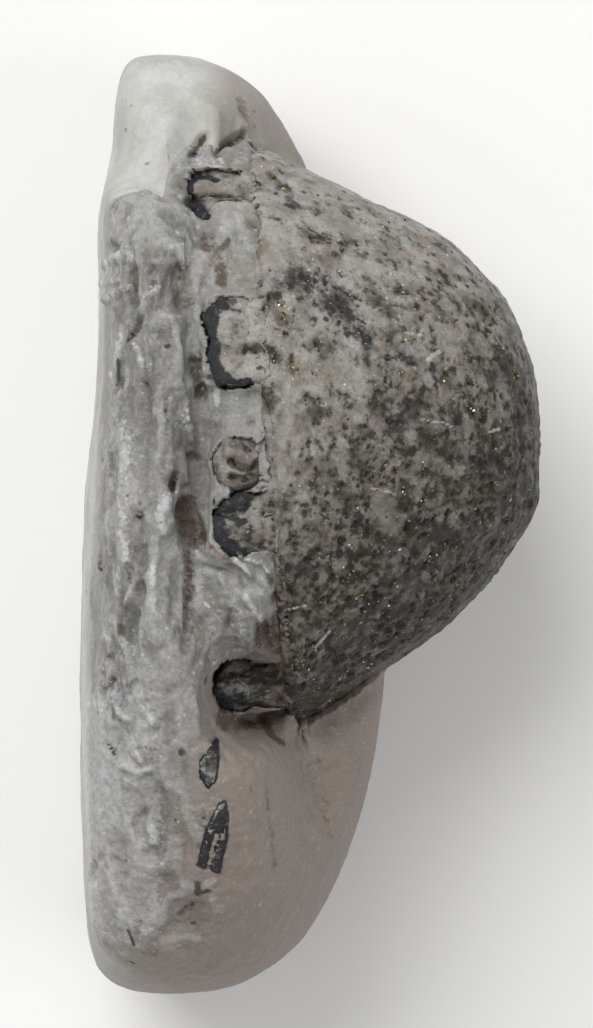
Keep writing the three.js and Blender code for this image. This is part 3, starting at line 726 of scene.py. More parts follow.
# It is drawn in under every piece that shows, filled beside the flank, thinned out where the cup hides it,
# and given a finer mesh on its upper face.
before = places(rock)
for node in SHOWN_IN_ROCK:
    if node == "calyx":
        hidden = sunk(rock, node, SEAM_REACH, SEAM_DEPTH, SEAM_TAPER, SEAM_PULL)
    else:
        lip_run = 0 if node in STEEP_SIDED else LIP_RUN
        sunk(rock, node, SMALL_REACH, SEAM_DEPTH, side=SEAM_SIDE, lip_run=lip_run)
spots = places(rock)
masked(rock, "drawn_in", np.abs(spots - before).max(axis=1) > 0)
fill = nearness(spots, tree_of(rock), FLANK_FILL, FLANK_FILL_REACH)
fill = fill * ramp(facing(rock)[:, 2], *FLANK_FILL_SLOPE)
spots[:, 2] += FLANK_FILL_HEIGHT * fill * ~hidden
put(rock, spots)
remade(rock, bpy.ops.mesh.decimate, hidden, ratio=HIDDEN_SHARE)
detailed = (places(rock)[:, 2] > DETAILED_ABOVE) & (facing(rock)[:, 2] > DETAILED_SLOPE)
remade(rock, bpy.ops.mesh.subdivide, detailed, number_cuts=1)
seam = {"vertex_group": "drawn_in", "invert_vertex_group": True}
shaped(rock, "SMOOTH", factor=SMOOTHING, iterations=2, **seam)

# How far each point belongs to each zone, and then the relief: the ledge, the ridges, the listed
# forms, and clouds of several sizes.
spots = places(rock)
across, along, height = (spots / MM).T
turned_up = facing(rock)[:, 2]
steep = np.maximum(1 - ramp(height, *STEEP_HEIGHT), 1 - ramp(turned_up, *STEEP_SLOPE))
upper = ramp(turned_up, *UPPER_SLOPE) * ramp(height, *UPPER_HEIGHT)
beyond = past(spots, LEDGE)
inside = 1 - ramp(beyond, *LEDGE_FADE)
shelf = upper * inside * ramp(across, *SHELF_SIDE)
calm = 1 - traced(rock, CALM) ** 0.5
band = ramp(-across, *BROKEN_SIDE) * upper * inside * ramp(along, *BROKEN_END) * calm
flaky = calm * ramp(-across, *FLAKY_SIDE) * ramp(-along, *FLAKY_START) * (1 - ramp(-along, *FLAKY_END))
flaky = flaky * ramp(height, *FLAKY_HEIGHT) * ramp(turned_up, *FLAKY_SLOPE)

step = 0.5 - ramp(beyond, -LEDGE_SHARPNESS / 2, LEDGE_SHARPNESS / 2)
rise = LEDGE_STEP * step * np.exp(-np.abs(beyond) / LEDGE_RUN) * upper * ramp(-across, *LEDGE_SIDE)
ridges = crests(spots, *RIDGES)
rise += RIDGE_HEIGHT * band * (ridges - CREST_MIDDLE)
rippled = RIPPLED_SHELF * upper * inside + band
rise += RIPPLE_HEIGHT * rippled * (crests(spots, *RIPPLES) - CREST_MIDDLE)
put(rock, spots + (rise * MM)[:, None] * facing(rock))
pressed(rock, ROCK_RELIEF)
masked(rock, "shelf_face", shelf)
masked(rock, "broken_face", band)
masked(rock, "flaky_face", flaky)
for size, depth, face, finer in ROCK_ROUGHNESS:
    roughened(rock, "CLOUDS", size, depth, face, finer)
for node in SLIVERS:
    sunk(rock, node, SLIVER_REACH, SLIVER_DEPTH)

# The layers of colour.
flank_across, flank_along = np.array(FLANK).T
flank = np.interp(along, flank_along, flank_across) - across
skin = ramp(beyond, *SKIN_FADE, SKIN_SPREAD * steep)
skin = np.maximum(skin, ramp(flank, -SKIN_SIDE - SKIN_SPREAD * steep, SKIN_SIDE))
# The worn layer: worn brown at the lower right, darkened as painted shade, and painted shade on the right of
# the upper end and low down.
worn = ramp(across - WORN_LEAN * along, *WORN_ACROSS) * ramp(-along, *WORN_ALONG)
low_side = np.maximum(ramp(beyond, *WORN_FADE, WORN_SPREAD * steep), 1 - ramp(height, *WORN_HEIGHT))
painted(
    rock,
    broken=np.maximum(band, SHELF_ROUGH * shelf * (1 - SHELF_SMOOTHER * ramp(-along, *FLAKY_START))),
    flaky=flaky,
    # painted light on the ridge crests, and painted shade in the troughs
    crest=band * ramp(ridges, *CREST_FADE),
    trough=band * (1 - ramp(ridges, *TROUGH_FADE)),
    skin=np.maximum(skin, steep * ramp(-across, *SKIN_BACK)),
    worn=np.maximum(worn, WORN_LOW * ramp(across, *WORN_SIDE) * low_side),
    brown=traced(rock, BROWN_MARKS),
    shade=traced(rock, SHADE_MARKS),
    black=traced(rock, BLACK_MARKS),
    white=traced(rock, WHITE_MARKS),
    pink=traced(rock, PINK_MARKS),
)


def add_node(tree, kind, inputs=(), **settings):
    """A shader node with its settings, each input given a value or the output that feeds it."""
    made = tree.nodes.new("ShaderNode" + kind)
    for setting, value in settings.items():
        setattr(made, setting, value)
    for key, value in dict(inputs).items():
        if isinstance(value, bpy.types.NodeSocket):
            tree.links.new(value, made.inputs[key])
        else:
            made.inputs[key].default_value = value
    return made


def maths(tree, operation, *values):
    return add_node(tree, "Math", dict(enumerate(values)), operation=operation).outputs[0]


def spanned(tree, value, low, high, first=0.0, last=1.0, curve="LINEAR"):
    """A value taken from the range low to high over to the range first to last."""
    inputs = {"Value": value, "From Min": low, "From Max": high, "To Min": first, "To Max": last}
    return add_node(tree, "MapRange", inputs, interpolation_type=curve).outputs["Result"]


def grains(tree, vector, scale, detail=2.0, roughness=0.5):
    """A noise node of so many grains to a millimetre."""
    inputs = {"Vector": vector, "Scale": scale, "Detail": detail, "Roughness": roughness}
    return add_node(tree, "TexNoise", inputs).outputs


def laid(tree, colour, paint, *shares, mode="MIX"):
    """A paint laid over a colour by the product of some shares."""
    share = shares[0]
    for other in shares[1:]:
        share = maths(tree, "MULTIPLY", share, other)
    inputs = {"Factor": share, 6: colour, 7: paint}
    return add_node(tree, "Mix", inputs, data_type="RGBA", blend_type=mode).outputs[2]


def varied(tree, colour, pattern, spread, swing):
    """A colour made darker and lighter, by a swing, where a pattern is a spread below and above a half."""
    dimmest, brightest = maths(tree, "SUBTRACT", 1.0, swing), maths(tree, "ADD", 1.0, swing)
    tint = spanned(tree, pattern, 0.5 - spread, 0.5 + spread, dimmest, brightest)
    return laid(tree, colour, tint, 1.0, mode="MULTIPLY")


def effect(name, *labels):
    """A shader node group that turns a place and some numbers into a mask: its tree, inputs and output."""
    tree = bpy.data.node_groups.new(name, "ShaderNodeTree")
    for label in labels:
        kind = "NodeSocketVector" if label == "Vector" else "NodeSocketFloat"
        tree.interface.new_socket(label, in_out="INPUT", socket_type=kind)
    tree.interface.new_socket("Mask", in_out="OUTPUT", socket_type="NodeSocketFloat")
    return tree, tree.nodes.new("NodeGroupInput").outputs, tree.nodes.new("NodeGroupOutput").inputs["Mask"]


# Blotches with soft, ragged edges: Size is their spacing in millimetres, Level how rare they are.
blotches, given, mask = effect("blotches", "Vector", "Size", "Level", "Softness")
rate = maths(blotches, "DIVIDE", 1.0, given["Size"])
clouds = grains(blotches, given["Vector"], rate, 4.0, 0.6)["Fac"]
low = maths(blotches, "SUBTRACT", given["Level"], given["Softness"])
high = maths(blotches, "ADD", given["Level"], given["Softness"])
blotches.links.new(spanned(blotches, clouds, low, high, curve="SMOOTHSTEP"), mask)

# Scattered specks: Size is the spacing of the places for them, Radius a share of it, Share how many are
# filled. Noise bends their outlines, and no two are of one size.
SPECK_BENDS = 2.2  # to one spacing
SPECK_BEND = 0.5  # reach of a bend, over the spacing
SPECK_CORE = 0.55  # share of its radius where a speck is full
SPECK_LEAST = 0.5  # the smallest speck's share of the radius
MIDDLE = (0.5, 0.5, 0.5)
specks, given, mask = effect("specks", "Vector", "Size", "Radius", "Share")
rate = maths(specks, "DIVIDE", 1.0, given["Size"])
ragged = grains(specks, given["Vector"], maths(specks, "MULTIPLY", rate, SPECK_BENDS))["Color"]
shift = add_node(specks, "VectorMath", {0: ragged, 1: MIDDLE}, operation="SUBTRACT").outputs[0]
bend = {0: shift, "Scale": maths(specks, "MULTIPLY", given["Size"], SPECK_BEND)}
shift = add_node(specks, "VectorMath", bend, operation="SCALE").outputs[0]
bent = add_node(specks, "VectorMath", {0: given["Vector"], 1: shift}, operation="ADD").outputs[0]
cells = add_node(specks, "TexVoronoi", {"Vector": bent, "Scale": rate}).outputs
luck = add_node(specks, "SeparateColor", {"Color": cells["Color"]}).outputs
filled = maths(specks, "LESS_THAN", luck["Red"], given["Share"])
reach = maths(specks, "MULTIPLY", given["Radius"], maths(specks, "ADD", luck["Green"], SPECK_LEAST))
core = maths(specks, "MULTIPLY", reach, SPECK_CORE)
dot = spanned(specks, cells["Distance"], reach, core, curve="SMOOTHSTEP")
specks.links.new(maths(specks, "MULTIPLY", filled, dot), mask)

# A layer painted on the piece, its edge broken up by noise: Size is the noise's, Fray how far it eats in,
# and Softness how slowly the edge fades.
frayed, given, mask = effect("frayed", "Vector", "Layer", "Size", "Fray", "Softness")
FRAYED_FROM = 0.2  # of the layer's strength
rate = maths(frayed, "DIVIDE", 1.0, given["Size"])
clouds = grains(frayed, given["Vector"], rate, 4.0, 0.7)["Fac"]
bite = maths(frayed, "MULTIPLY", maths(frayed, "SUBTRACT", clouds, 0.5), given["Fray"])
kept = maths(frayed, "ADD", given["Layer"], bite)
full = maths(frayed, "ADD", given["Softness"], FRAYED_FROM)
frayed.links.new(spanned(frayed, kept, FRAYED_FROM, full, curve="SMOOTHSTEP"), mask)


def use(tree, group, **inputs):
    """Places a node group in a material."""
    return add_node(tree, "Group", inputs, node_tree=group).outputs["Mask"]


def scaled(tree, vector, scale):
    return add_node(tree, "Mapping", {"Vector": vector, "Scale": scale}).outputs["Vector"]


def finish_tree(name):
    """A new material: its tree, its shader, and where a point lies on the piece in millimetres."""
    finish = bpy.data.materials.new(name)
    finish.use_nodes = True
    tree = finish.node_tree
    place = add_node(tree, "TexCoord").outputs["Object"]
    return finish, tree, tree.nodes["Principled BSDF"], scaled(tree, place, (1 / MM, 1 / MM, 1 / MM))


def layer(tree, name):
    return add_node(tree, "Attribute", attribute_name=name).outputs["Fac"]


def coated(tree, here, colour, coats):
    """Lays painted layers with frayed edges over a colour, one after the other."""
    for name, paint, strength, size, fray, softness in coats:
        edge = {"Size": size, "Fray": fray, "Softness": softness}
        coat = use(tree, frayed, Vector=here, Layer=layer(tree, name), **edge)
        colour = laid(tree, colour, paint, coat, strength)
    return colour


def wired(tree, shader, colour, gloss, height, strength, depth):
    """Joins a material's colour, roughness and small relief to its shader."""
    tree.links.new(colour, shader.inputs["Base Color"])
    tree.links.new(gloss, shader.inputs["Roughness"])
    bump = add_node(tree, "Bump", {"Height": height, "Strength": strength, "Distance": depth})
    tree.links.new(bump.outputs["Normal"], shader.inputs["Normal"])


def dress(piece, finish, slot, *nodes):
    """Gives a finished piece its material and smooth shading, hangs it on the root and hides the nodes it
    stands for.
    """
    piece.data.materials.clear()
    piece.data.materials.append(finish)
    only(piece)
    bpy.ops.object.shade_smooth()
    piece.select_set(False)
    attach(piece, "root")
    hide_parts(*nodes)


ROCK_GRAIN = (3.2, 5.0, 0.75)  # grains to a millimetre, detail and roughness
GRAIN_SPREAD = 0.2
limestone, tree, shader, here = finish_tree("grey_limestone")
drawn_out = scaled(tree, here, (1.0, 0.35, 1.0))
fibrous = scaled(tree, here, (1.0, 0.25, 1.0))
broken = layer(tree, "broken")
soft = use(tree, blotches, Vector=drawn_out, Size=3.0, Level=0.5, Softness=0.14)
rough = use(tree, blotches, Vector=drawn_out, Size=1.3, Level=0.53, Softness=0.1)
fine = use(tree, blotches, Vector=here, Size=0.6, Level=0.56, Softness=0.08)
streaks = use(tree, blotches, Vector=fibrous, Size=0.5, Level=0.5, Softness=0.12)
tan = use(tree, blotches, Vector=here, Size=4.0, Level=0.54, Softness=0.12)
olive = use(tree, blotches, Vector=drawn_out, Size=2.2, Level=0.54, Softness=0.1)
mauve = use(tree, blotches, Vector=drawn_out, Size=1.7, Level=0.55, Softness=0.1)
colour = laid(tree, ROCK_GREY, ROCK_LIGHT, soft, 0.75)
colour = laid(tree, colour, ROCK_TAN, tan, 0.5)
colour = laid(tree, colour, ROCK_OLIVE, olive, 0.6)
colour = laid(tree, colour, ROCK_MAUVE, mauve, 0.5)
colour = laid(tree, colour, ROCK_SHADE, rough, broken, 0.5)
# Pale frost on the broken face, partly painted glints.
colour = laid(tree, colour, ROCK_FROST_AND_GLINT, fine, broken, 0.3)
colour = laid(tree, colour, ROCK_SHADE, streaks, broken, 0.35)
pale = laid(tree, SKIN_PALE, SKIN_GREY, soft, 0.7)
skin = use(tree, frayed, Vector=here, Layer=layer(tree, "skin"), Size=1.6, Fray=0.7, Softness=0.9)
colour = laid(tree, colour, pale, skin)
# the worn layer: worn brown and painted shade
colour = laid(tree, colour, WORN_TAN_AND_SHADE, layer(tree, "worn"))
colour = coated(tree, here, colour, ROCK_COATS)
dots = use(tree, specks, Vector=here, Size=1.4, Radius=0.12, Share=0.5)
colour = laid(tree, colour, ROCK_SHADE, dots, 0.6)
# Painted glints: small pale specks over the broken face.
painted_sparkle = use(tree, specks, Vector=here, Size=0.55, Radius=0.2, Share=0.4)
colour = laid(tree, colour, ROCK_FROST_AND_GLINT, painted_sparkle, broken, 0.55)
grain = grains(tree, here, *ROCK_GRAIN)["Fac"]
colour = varied(tree, colour, grain, GRAIN_SPREAD, spanned(tree, broken, 0, 1, 0.1, 0.28))
dulled = maths(tree, "MULTIPLY", grain, 0.12)
gloss = maths(tree, "ADD", spanned(tree, broken, 0, 1, 0.6, 0.34), dulled)
wired(tree, shader, colour, gloss, grain, spanned(tree, broken, 0, 1, 0.3, 0.9), 0.2 * MM)
dress(rock, limestone, "limestone", "matrix")

# ---------------------------------------------------------------- plated cup
# The calyx of the sea lily: a dome of thin calcite plates that meet in fine seams. The calcite is beige and
# pinkish grey with blue-black patches, and is dotted with dark pits where specks of pyrite have weathered
# out.

CUP_VOXEL = 0.3 * MM
CUP_BACK = -6.0 * MM  # the dome is cut off flat here, inside the rock
CUP_ROUNDING = 2  # subdivision levels that take the facets away before the even skin is made
CUP_DETAILED_FROM = -4.5 * MM  # the side that shows gets the finer mesh
CUP_DETAILED_SLOPE = 0.25
CUP_SHOWN_FROM = -4.2 * MM  # and the small pits
CARRIED_ARMS = [node for node in ARMS if node != "arm_1b"]  # the cup's own plates carry their roots
BASE_END = -4.9 * MM  # out to here
BASE_SEAM = -4.0 * MM  # and show from here on
BASE_DRAWN = 0.8 * MM  # how far an arm's root is drawn in under the rim
BASE_ROOT = 0.9 * MM  # length of that root
CUP_ROUGHNESS = [  # pattern, its size and height, where it lies and how many finer sizes it has
    ("CLOUDS", 4.5, 0.3, "", 2),
    ("CLOUDS", 1.3, 0.2, "", 2),
    ("VORONOI", 0.9, -0.12, "dense_pits", 2),
    ("CLOUDS", 0.5, 0.18, "", 1),
]

# Seams between plates, and cracks: the line from above, half width and height, in millimetres.
CUP_SEAMS = [
    ([(-3.5, 19.7), (-3.6, 17.4), (-3.3, 15.4)], 0.3, -0.25),
    ([(-3.1, 7.9), (-2.7, 6.4), (-2.3, 4.3), (-2.4, 2.0)], 0.3, -0.25),
    ([(-2.4, 2.0), (-1.7, 1.6), (-0.7, 1.8), (1.0, 2.5), (2.1, 2.7)], 0.25, -0.14),
    ([(3.9, 2.3), (5.5, 1.9)], 0.3, 0.16),
    ([(-2.0, -2.3), (-1.8, -3.4), (-1.6, -5.1), (-1.6, -8.5)], 0.35, -0.35),
    ([(-2.2, -1.9), (-1.4, -1.4), (-0.6, -1.6), (1.4, -2.2)], 0.25, -0.14),
    ([(3.8, -3.2), (4.1, -4.3), (4.3, -5.0)], 0.22, -0.14),
    ([(0.3, -8.0), (1.2, -7.0)], 0.22, 0.12),
    ([(-1.8, -5.6), (-0.4, -5.3)], 0.22, 0.1),
    ([(-0.7, -10.9), (2.7, -9.4), (5.9, -7.2), (7.2, -4.7)], 0.4, 0.14),
    ([(-1.5, 17.0), (-0.4, 16.4)], 0.2, -0.2),
    ([(-3.2, 21.8), (-0.7, 21.2)], 0.22, -0.14),
    ([(7.1, 6.7), (8.5, 6.6), (9.3, 6.2)], 0.25, 0.15),
]
# Dark patches, clean places and pale lines: the line, its half width and its strength.
CUP_DARK = [
    ([(-0.8, 15.6), (1.5, 14.8), (2.6, 13.1)], 3.0, 0.85),
    ([(3.6, 11.8), (5.6, 11.0), (7.4, 10.4)], 1.8, 0.7),
    ([(0.6, 18.6), (2.2, 18.2), (3.0, 17.6)], 1.2, 0.75),
    ([(-2.0, 14.4), (-1.6, 16.1)], 0.9, 0.7),
    ([(-2.6, 22.8), (-1.6, 21.8), (-1.3, 20.8)], 0.8, 0.9),
    ([(-2.4, 10.7), (-3.2, 11.0)], 1.1, 0.9),
    ([(1.8, 12.6), (3.4, 11.6), (4.0, 10.8)], 1.4, 0.6),
    ([(4.7, 7.6), (5.6, 6.3), (6.3, 4.7)], 1.1, 1.0),
    ([(5.4, 7.3), (7.0, 7.8), (8.7, 7.2)], 1.0, 0.85),
    ([(12.2, 11.0), (13.2, 10.0), (13.8, 8.5)], 1.5, 0.75),
    ([(2.2, 1.6), (2.9, 0.2), (2.6, -0.8)], 1.1, 0.9),
    ([(6.0, 2.6), (6.3, 1.2), (6.6, 0.0)], 1.0, 0.9),
    ([(-0.3, -0.4), (0.8, 0.8)], 1.0, 0.65),
    ([(-1.3, -2.6), (-0.2, -3.2), (-1.0, -4.4)], 1.5, 0.75),
    ([(-1.2, -6.2), (-0.9, -7.6)], 0.9, 0.7),
    ([(1.0, -7.6), (-0.2, -8.8)], 0.8, 0.7),
    ([(2.0, -9.6), (3.6, -9.0), (5.0, -7.6)], 0.9, 0.8),
    ([(4.4, -1.4), (6.2, -1.8), (7.6, -1.0)], 1.4, 0.75),
    ([(8.5, 1.5), (10.2, 3.0), (11.6, 4.0)], 1.4, 0.65),
]
CUP_CLEAN = [
    ([(-2.6, 18.9), (-2.4, 16.9)], 1.8, 1.0),
    ([(4.5, 1.4), (4.9, 0.2)], 1.2, 1.0),
    ([(-1.4, 9.0), (-1.6, 6.0)], 1.6, 0.9),
    ([(-1.9, 5.0), (-1.8, 2.6)], 0.8, 1.0),
    ([(3.8, 16.8), (2.6, 17.0)], 1.5, 0.75),
    ([(-2.0, -9.6), (-1.9, -8.4)], 0.9, 1.0),
    ([(1.5, 9.8), (2.8, 9.0)], 1.3, 0.7),
    ([(9.2, 11.8), (9.8, 12.2)], 1.3, 0.7),
]
CUP_LIGHT = [
    ([(-2.4, 2.0), (-1.7, 1.6), (-0.7, 1.8), (1.0, 2.5), (2.1, 2.7)], 0.15, 0.36),
    ([(3.9, 2.3), (5.5, 1.9)], 0.165, 0.64),
    ([(-2.2, -1.9), (-1.4, -1.4), (-0.6, -1.6), (1.4, -2.2)], 0.15, 0.4),
    ([(0.3, -8.0), (1.2, -7.0)], 0.1875, 0.72),
    ([(-1.8, -5.6), (-0.4, -5.3)], 0.225, 0.56),
    ([(7.5, 10.6), (8.3, 11.2)], 0.225, 0.8),
    ([(6.1, 12.4), (7.1, 12.3)], 0.15, 0.8),
    ([(7.1, 6.7), (8.5, 6.6), (9.3, 6.2)], 0.15, 0.8),
    ([(11.6, 6.0), (12.3, 6.2)], 0.1875, 0.8),
    ([(0.4, 7.8), (0.8, 7.7)], 0.3, 0.64),
]
# The larger pits, as x, y and radius.
CUP_PITS = [
    (-2.7, 14.5, 0.40), (-1.9, 14.1, 0.25), (-2.0, 13.3, 0.45), (-2.6, 22.8, 0.50), (-3.4, 22.2, 0.30),
    (-2.1, 22.0, 0.40), (-3.9, 22.6, 0.30), (0.2, 18.5, 0.40), (1.0, 18.8, 0.35), (2.8, 18.4, 0.35),
    (2.0, 17.8, 0.25), (1.9, 16.2, 0.30), (4.5, 14.7, 0.25), (8.0, 17.7, 0.25), (5.7, 15.1, 0.40),
    (7.0, 15.1, 0.25), (7.3, 14.7, 0.25), (8.0, 14.4, 0.25), (8.3, 14.1, 0.25), (12.0, 13.3, 0.30),
    (8.7, 9.4, 0.45), (10.3, 9.2, 0.30), (5.8, 9.8, 0.30), (12.4, 10.8, 0.50), (13.5, 9.8, 0.50),
    (14.5, 9.9, 0.50), (14.4, 8.5, 0.40), (0.3, 11.6, 0.45), (-3.8, 11.3, 0.50), (-2.2, 10.7, 0.45),
    (-1.7, 12.2, 0.25), (-1.3, 10.7, 0.25), (-1.2, 9.9, 0.25), (-0.3, 8.2, 0.30), (0.3, 6.7, 0.40),
    (3.8, 7.7, 0.30), (3.9, 5.8, 0.30), (5.4, 4.8, 0.30), (3.9, 3.0, 0.40), (4.6, 3.5, 0.20),
    (5.4, 3.4, 0.35), (6.0, 2.3, 0.40), (2.4, 1.5, 0.55), (0.9, 1.2, 0.40), (0.7, -5.1, 0.45),
    (1.1, -6.2, 0.40), (5.0, -3.5, 0.40), (3.4, -3.6, 0.35), (3.7, -4.6, 0.30), (3.1, -4.7, 0.30),
    (1.2, -8.7, 0.50), (0.1, -9.2, 0.35), (0.5, -11.2, 0.50), (0.4, -10.0, 0.35), (1.6, -10.2, 0.40),
    (-0.6, -9.4, 0.35), (-0.5, -12.5, 0.40), (4.9, -8.7, 0.40), (3.9, -9.4, 0.35), (3.7, -10.5, 0.30),
]
SMALL_PITS = 1200
PIT_SIZES = (0.22, 0.52)
PIT_DEPTH = 0.6  # share of a pit's radius
PIT_BITES = (2, 5)  # a pit is 2 to 4 overlapping bites
BITE_SIZES = (0.45, 0.8)  # over the pit's size
BITE_SPREAD = 0.45  # of the bites round its middle, likewise
PIT_CLUSTERS = 2.2 * MM  # size of the clusters that the small pits gather in
HALO = 1.9  # reach of the olive stain round a large pit, over its radius
PITS_LEAST = 0.12  # how thickly they lie at the cup's upper left, next to its lower right
PITS_SLANT = (0.5, -0.55)  # which way they grow thicker,
PITS_SPREAD = (-9, 10)  # and over what stretch that way, in millimetres
CUP_CORNER = (-2.1, -10.7, 1.7)  # x, y and reach of the corner between rim and last arm, free of rock
CUP_BEIGE = (0.405, 0.397, 0.365, 1)
CUP_TAN = (0.28, 0.235, 0.195, 1)
CUP_BROWN = (0.18, 0.137, 0.096, 1)
CUP_GREY = (0.185, 0.175, 0.158, 1)
CUP_BLUE = (0.07, 0.073, 0.08, 1)
CUP_INK = (0.042, 0.036, 0.026, 1)
CUP_CREAM = (0.56, 0.54, 0.49, 1)
CUP_BLACK = (0.026, 0.023, 0.016, 1)
CUP_OLIVE = (0.07, 0.056, 0.03, 1)
CUP_PIT = (0.014, 0.012, 0.01, 1)
GLASSY_BLACK = (0.018, 0.019, 0.023, 1)
# the bluish colour of the glints painted on the black breaks
PAINTED_GLINT_BLUE = (0.16, 0.19, 0.22, 1)
CUP_COATS = [  # painted layer, colour and strength, and the noise of its edge: size, fray and softness
    ("light", CUP_CREAM, 0.6, 0.3, 1.5, 0.4),
    ("halo", CUP_OLIVE, 0.7, 0.5, 1.6, 0.6),
    ("pit", CUP_PIT, 0.9, 0.3, 1.2, 0.8),
]
CUP_PATCHES = [(3.0, 0.45), (1.5, 0.5), (0.75, 0.85), (0.36, 0.35)]  # size and strength of the black ones
# The cup is dimmed towards its lower right, where the pits lie thickest: their stain, and painted shade on the
# side away from the lamp.
CUP_STAIN_AND_SHADE = 0.55  # how much the stain dims the cup where the pits lie thickest
CUP_MOTTLE = 0.4  # and how much it is mottled there
CUP_GRAIN = (4.5, 4.0, 0.75)  # grains to a millimetre, detail and roughness
CUP_SHEEN = 0.2


def cut_behind(piece, x):
    """Cuts a piece off flat at x, away from the side of the arms, and closes it."""
    plane = {"plane_co": (x, 0, 0), "plane_no": (1, 0, 0)}
    remade(piece, bpy.ops.mesh.bisect, **plane, clear_inner=True, use_fill=True)


def rooted(node, name):
    """A copy of an arm whose root is drawn in under the cup's rim."""
    arm = copy_of(node, name)
    points = places(arm)
    root = points[:, 0].max()
    points[:, 0] += BASE_DRAWN * ramp(points[:, 0], root - BASE_ROOT, root)
    put(arm, points)
    return arm


def density(points):
    """How thickly the pits lie at points of the cup: thin at its upper left, thick at its lower right."""
    x, y, _ = points.T / MM
    return PITS_LEAST + (1 - PITS_LEAST) * ramp(PITS_SLANT[0] * x + PITS_SLANT[1] * y, *PITS_SPREAD)


# One skin is laid over the dome and the roots of the arms, and given a finer mesh where it shows.
cup = copy_of("calyx", "plated_cup")
remade(cup, bpy.ops.mesh.tris_convert_to_quads)
shaped(cup, "SUBSURF", levels=CUP_ROUNDING, render_levels=CUP_ROUNDING)
cut_behind(cup, CUP_BACK)
bases = []
for node in CARRIED_ARMS:
    base = rooted(node, "base")
    cut_behind(base, BASE_END)
    bases.append(base)
only(cup)
for base in bases:
    base.select_set(True)
bpy.ops.object.join()
voxel_skin(cup, CUP_VOXEL, rounds=6)
detailed = (facing(cup)[:, 2] > CUP_DETAILED_SLOPE) & (places(cup)[:, 0] > CUP_DETAILED_FROM)
remade(cup, bpy.ops.mesh.subdivide, detailed, number_cuts=1)
shaped(cup, "SMOOTH", factor=SMOOTHING, iterations=2)

for kind, size, depth, group, finer in CUP_ROUGHNESS:
    if group:
        masked(cup, group, density(places(cup)))
    roughened(cup, kind, size, depth, group, finer)
pressed(cup, CUP_SEAMS)

# The pits: the small ones gather in clusters where the cup is dirty, the large ones have their places.
rng = np.random.default_rng(12)
spots = places(cup)
open_face = spots[:, 0] > CUP_SHOWN_FROM
clean = traced(cup, CUP_CLEAN)
clusters = np.array([noise.noise(Vector(spot) / PIT_CLUSTERS) for spot in spots]) * 0.5 + 0.5
chance = open_face * density(spots) * clusters**2 * (1 - clean) ** 2
pit_spots = spots[rng.choice(len(spots), SMALL_PITS, replace=False, p=chance / chance.sum())]
pit_sizes = rng.uniform(*PIT_SIZES, SMALL_PITS) * MM
tree_above = tree_of(cup)
tops = [(top_at(tree_above, x * MM, y * MM), radius * MM) for x, y, radius in CUP_PITS]
large = [(top, radius) for top, radius in tops if top is not None]
index = KDTree(len(spots))
for i, spot in enumerate(spots):
    index.insert(spot, i)
index.balance()
pits = np.zeros(len(spots))
halos = np.zeros(len(spots))
sink = np.zeros(len(spots))
for centre, size in large + list(zip(pit_spots, pit_sizes)):
    for _ in range(rng.integers(*PIT_BITES)):
        radius = size * rng.uniform(*BITE_SIZES)
        aside = Vector(rng.normal(0, BITE_SPREAD, 3)) * size
        for _, i, distance in index.find_range(Vector(centre) + aside, radius):
            share = (1 - (distance / radius) ** 2) ** 1.5
            pits[i] = max(pits[i], share)
            sink[i] = max(sink[i], share * radius * PIT_DEPTH)
for centre, radius in large:
    for _, i, distance in index.find_range(centre, HALO * radius):
        halos[i] = max(halos[i], 1 - distance / (HALO * radius))
put(cup, spots - sink[:, None] * facing(cup))
painted(
    cup,
    pit=pits,
    halo=halos,
    clean=clean,
    dense=density(spots),
    dark=traced(cup, CUP_DARK),
    light=traced(cup, CUP_LIGHT),
)
picked(rock, cup, around=CUP_CORNER)

calcite, tree, shader, here = finish_tree("mottled_calcite")
dirty = maths(tree, "SUBTRACT", 1.0, layer(tree, "clean"))
dense = layer(tree, "dense")
tan = use(tree, blotches, Vector=here, Size=1.9, Level=0.53, Softness=0.1)
grey = use(tree, blotches, Vector=here, Size=1.5, Level=0.5, Softness=0.12)
colour = laid(tree, CUP_BEIGE, CUP_TAN, tan, 0.8)
colour = laid(tree, colour, CUP_GREY, grey, dirty, 0.7)
colour = laid(tree, colour, CUP_BROWN, dense, 0.6)
# Darker towards the lower right: the stain of the pits, and painted shade on that side.
stain_and_shade = maths(tree, "SUBTRACT", 1.0, maths(tree, "MULTIPLY", dense, CUP_STAIN_AND_SHADE))
colour = laid(tree, colour, stain_and_shade, 1.0, mode="MULTIPLY")
mottle = grains(tree, here, 1.0)["Fac"]
colour = varied(tree, colour, mottle, 0.15, maths(tree, "MULTIPLY", dense, CUP_MOTTLE))
dark = use(tree, frayed, Vector=here, Layer=layer(tree, "dark"), Size=1.5, Fray=1.6, Softness=0.7)
smears = use(tree, blotches, Vector=here, Size=1.1, Level=0.49, Softness=0.07)
smears = maths(tree, "ADD", maths(tree, "MULTIPLY", smears, 0.75), 0.1)
colour = laid(tree, colour, laid(tree, CUP_BLUE, CUP_INK, dense, 0.85), dark, smears)
thick = maths(tree, "MAXIMUM", dense, maths(tree, "MULTIPLY", dark, 0.7))
rarity = maths(tree, "SUBTRACT", 0.65, maths(tree, "MULTIPLY", thick, 0.15))
for size, strength in CUP_PATCHES:
    patches = use(tree, blotches, Vector=here, Size=size, Level=rarity, Softness=0.08)
    colour = laid(tree, colour, CUP_BLACK, patches, dirty, strength)
crowd = use(tree, blotches, Vector=here, Size=2.6, Level=0.5, Softness=0.1)
filled = maths(tree, "MULTIPLY", thick, maths(tree, "ADD", maths(tree, "MULTIPLY", crowd, 0.65), 0.3))
pocks = use(tree, specks, Vector=here, Size=0.85, Radius=0.36, Share=filled)
pocks = maths(tree, "MULTIPLY", pocks, dirty)
colour = laid(tree, colour, CUP_PIT, pocks, 0.85)
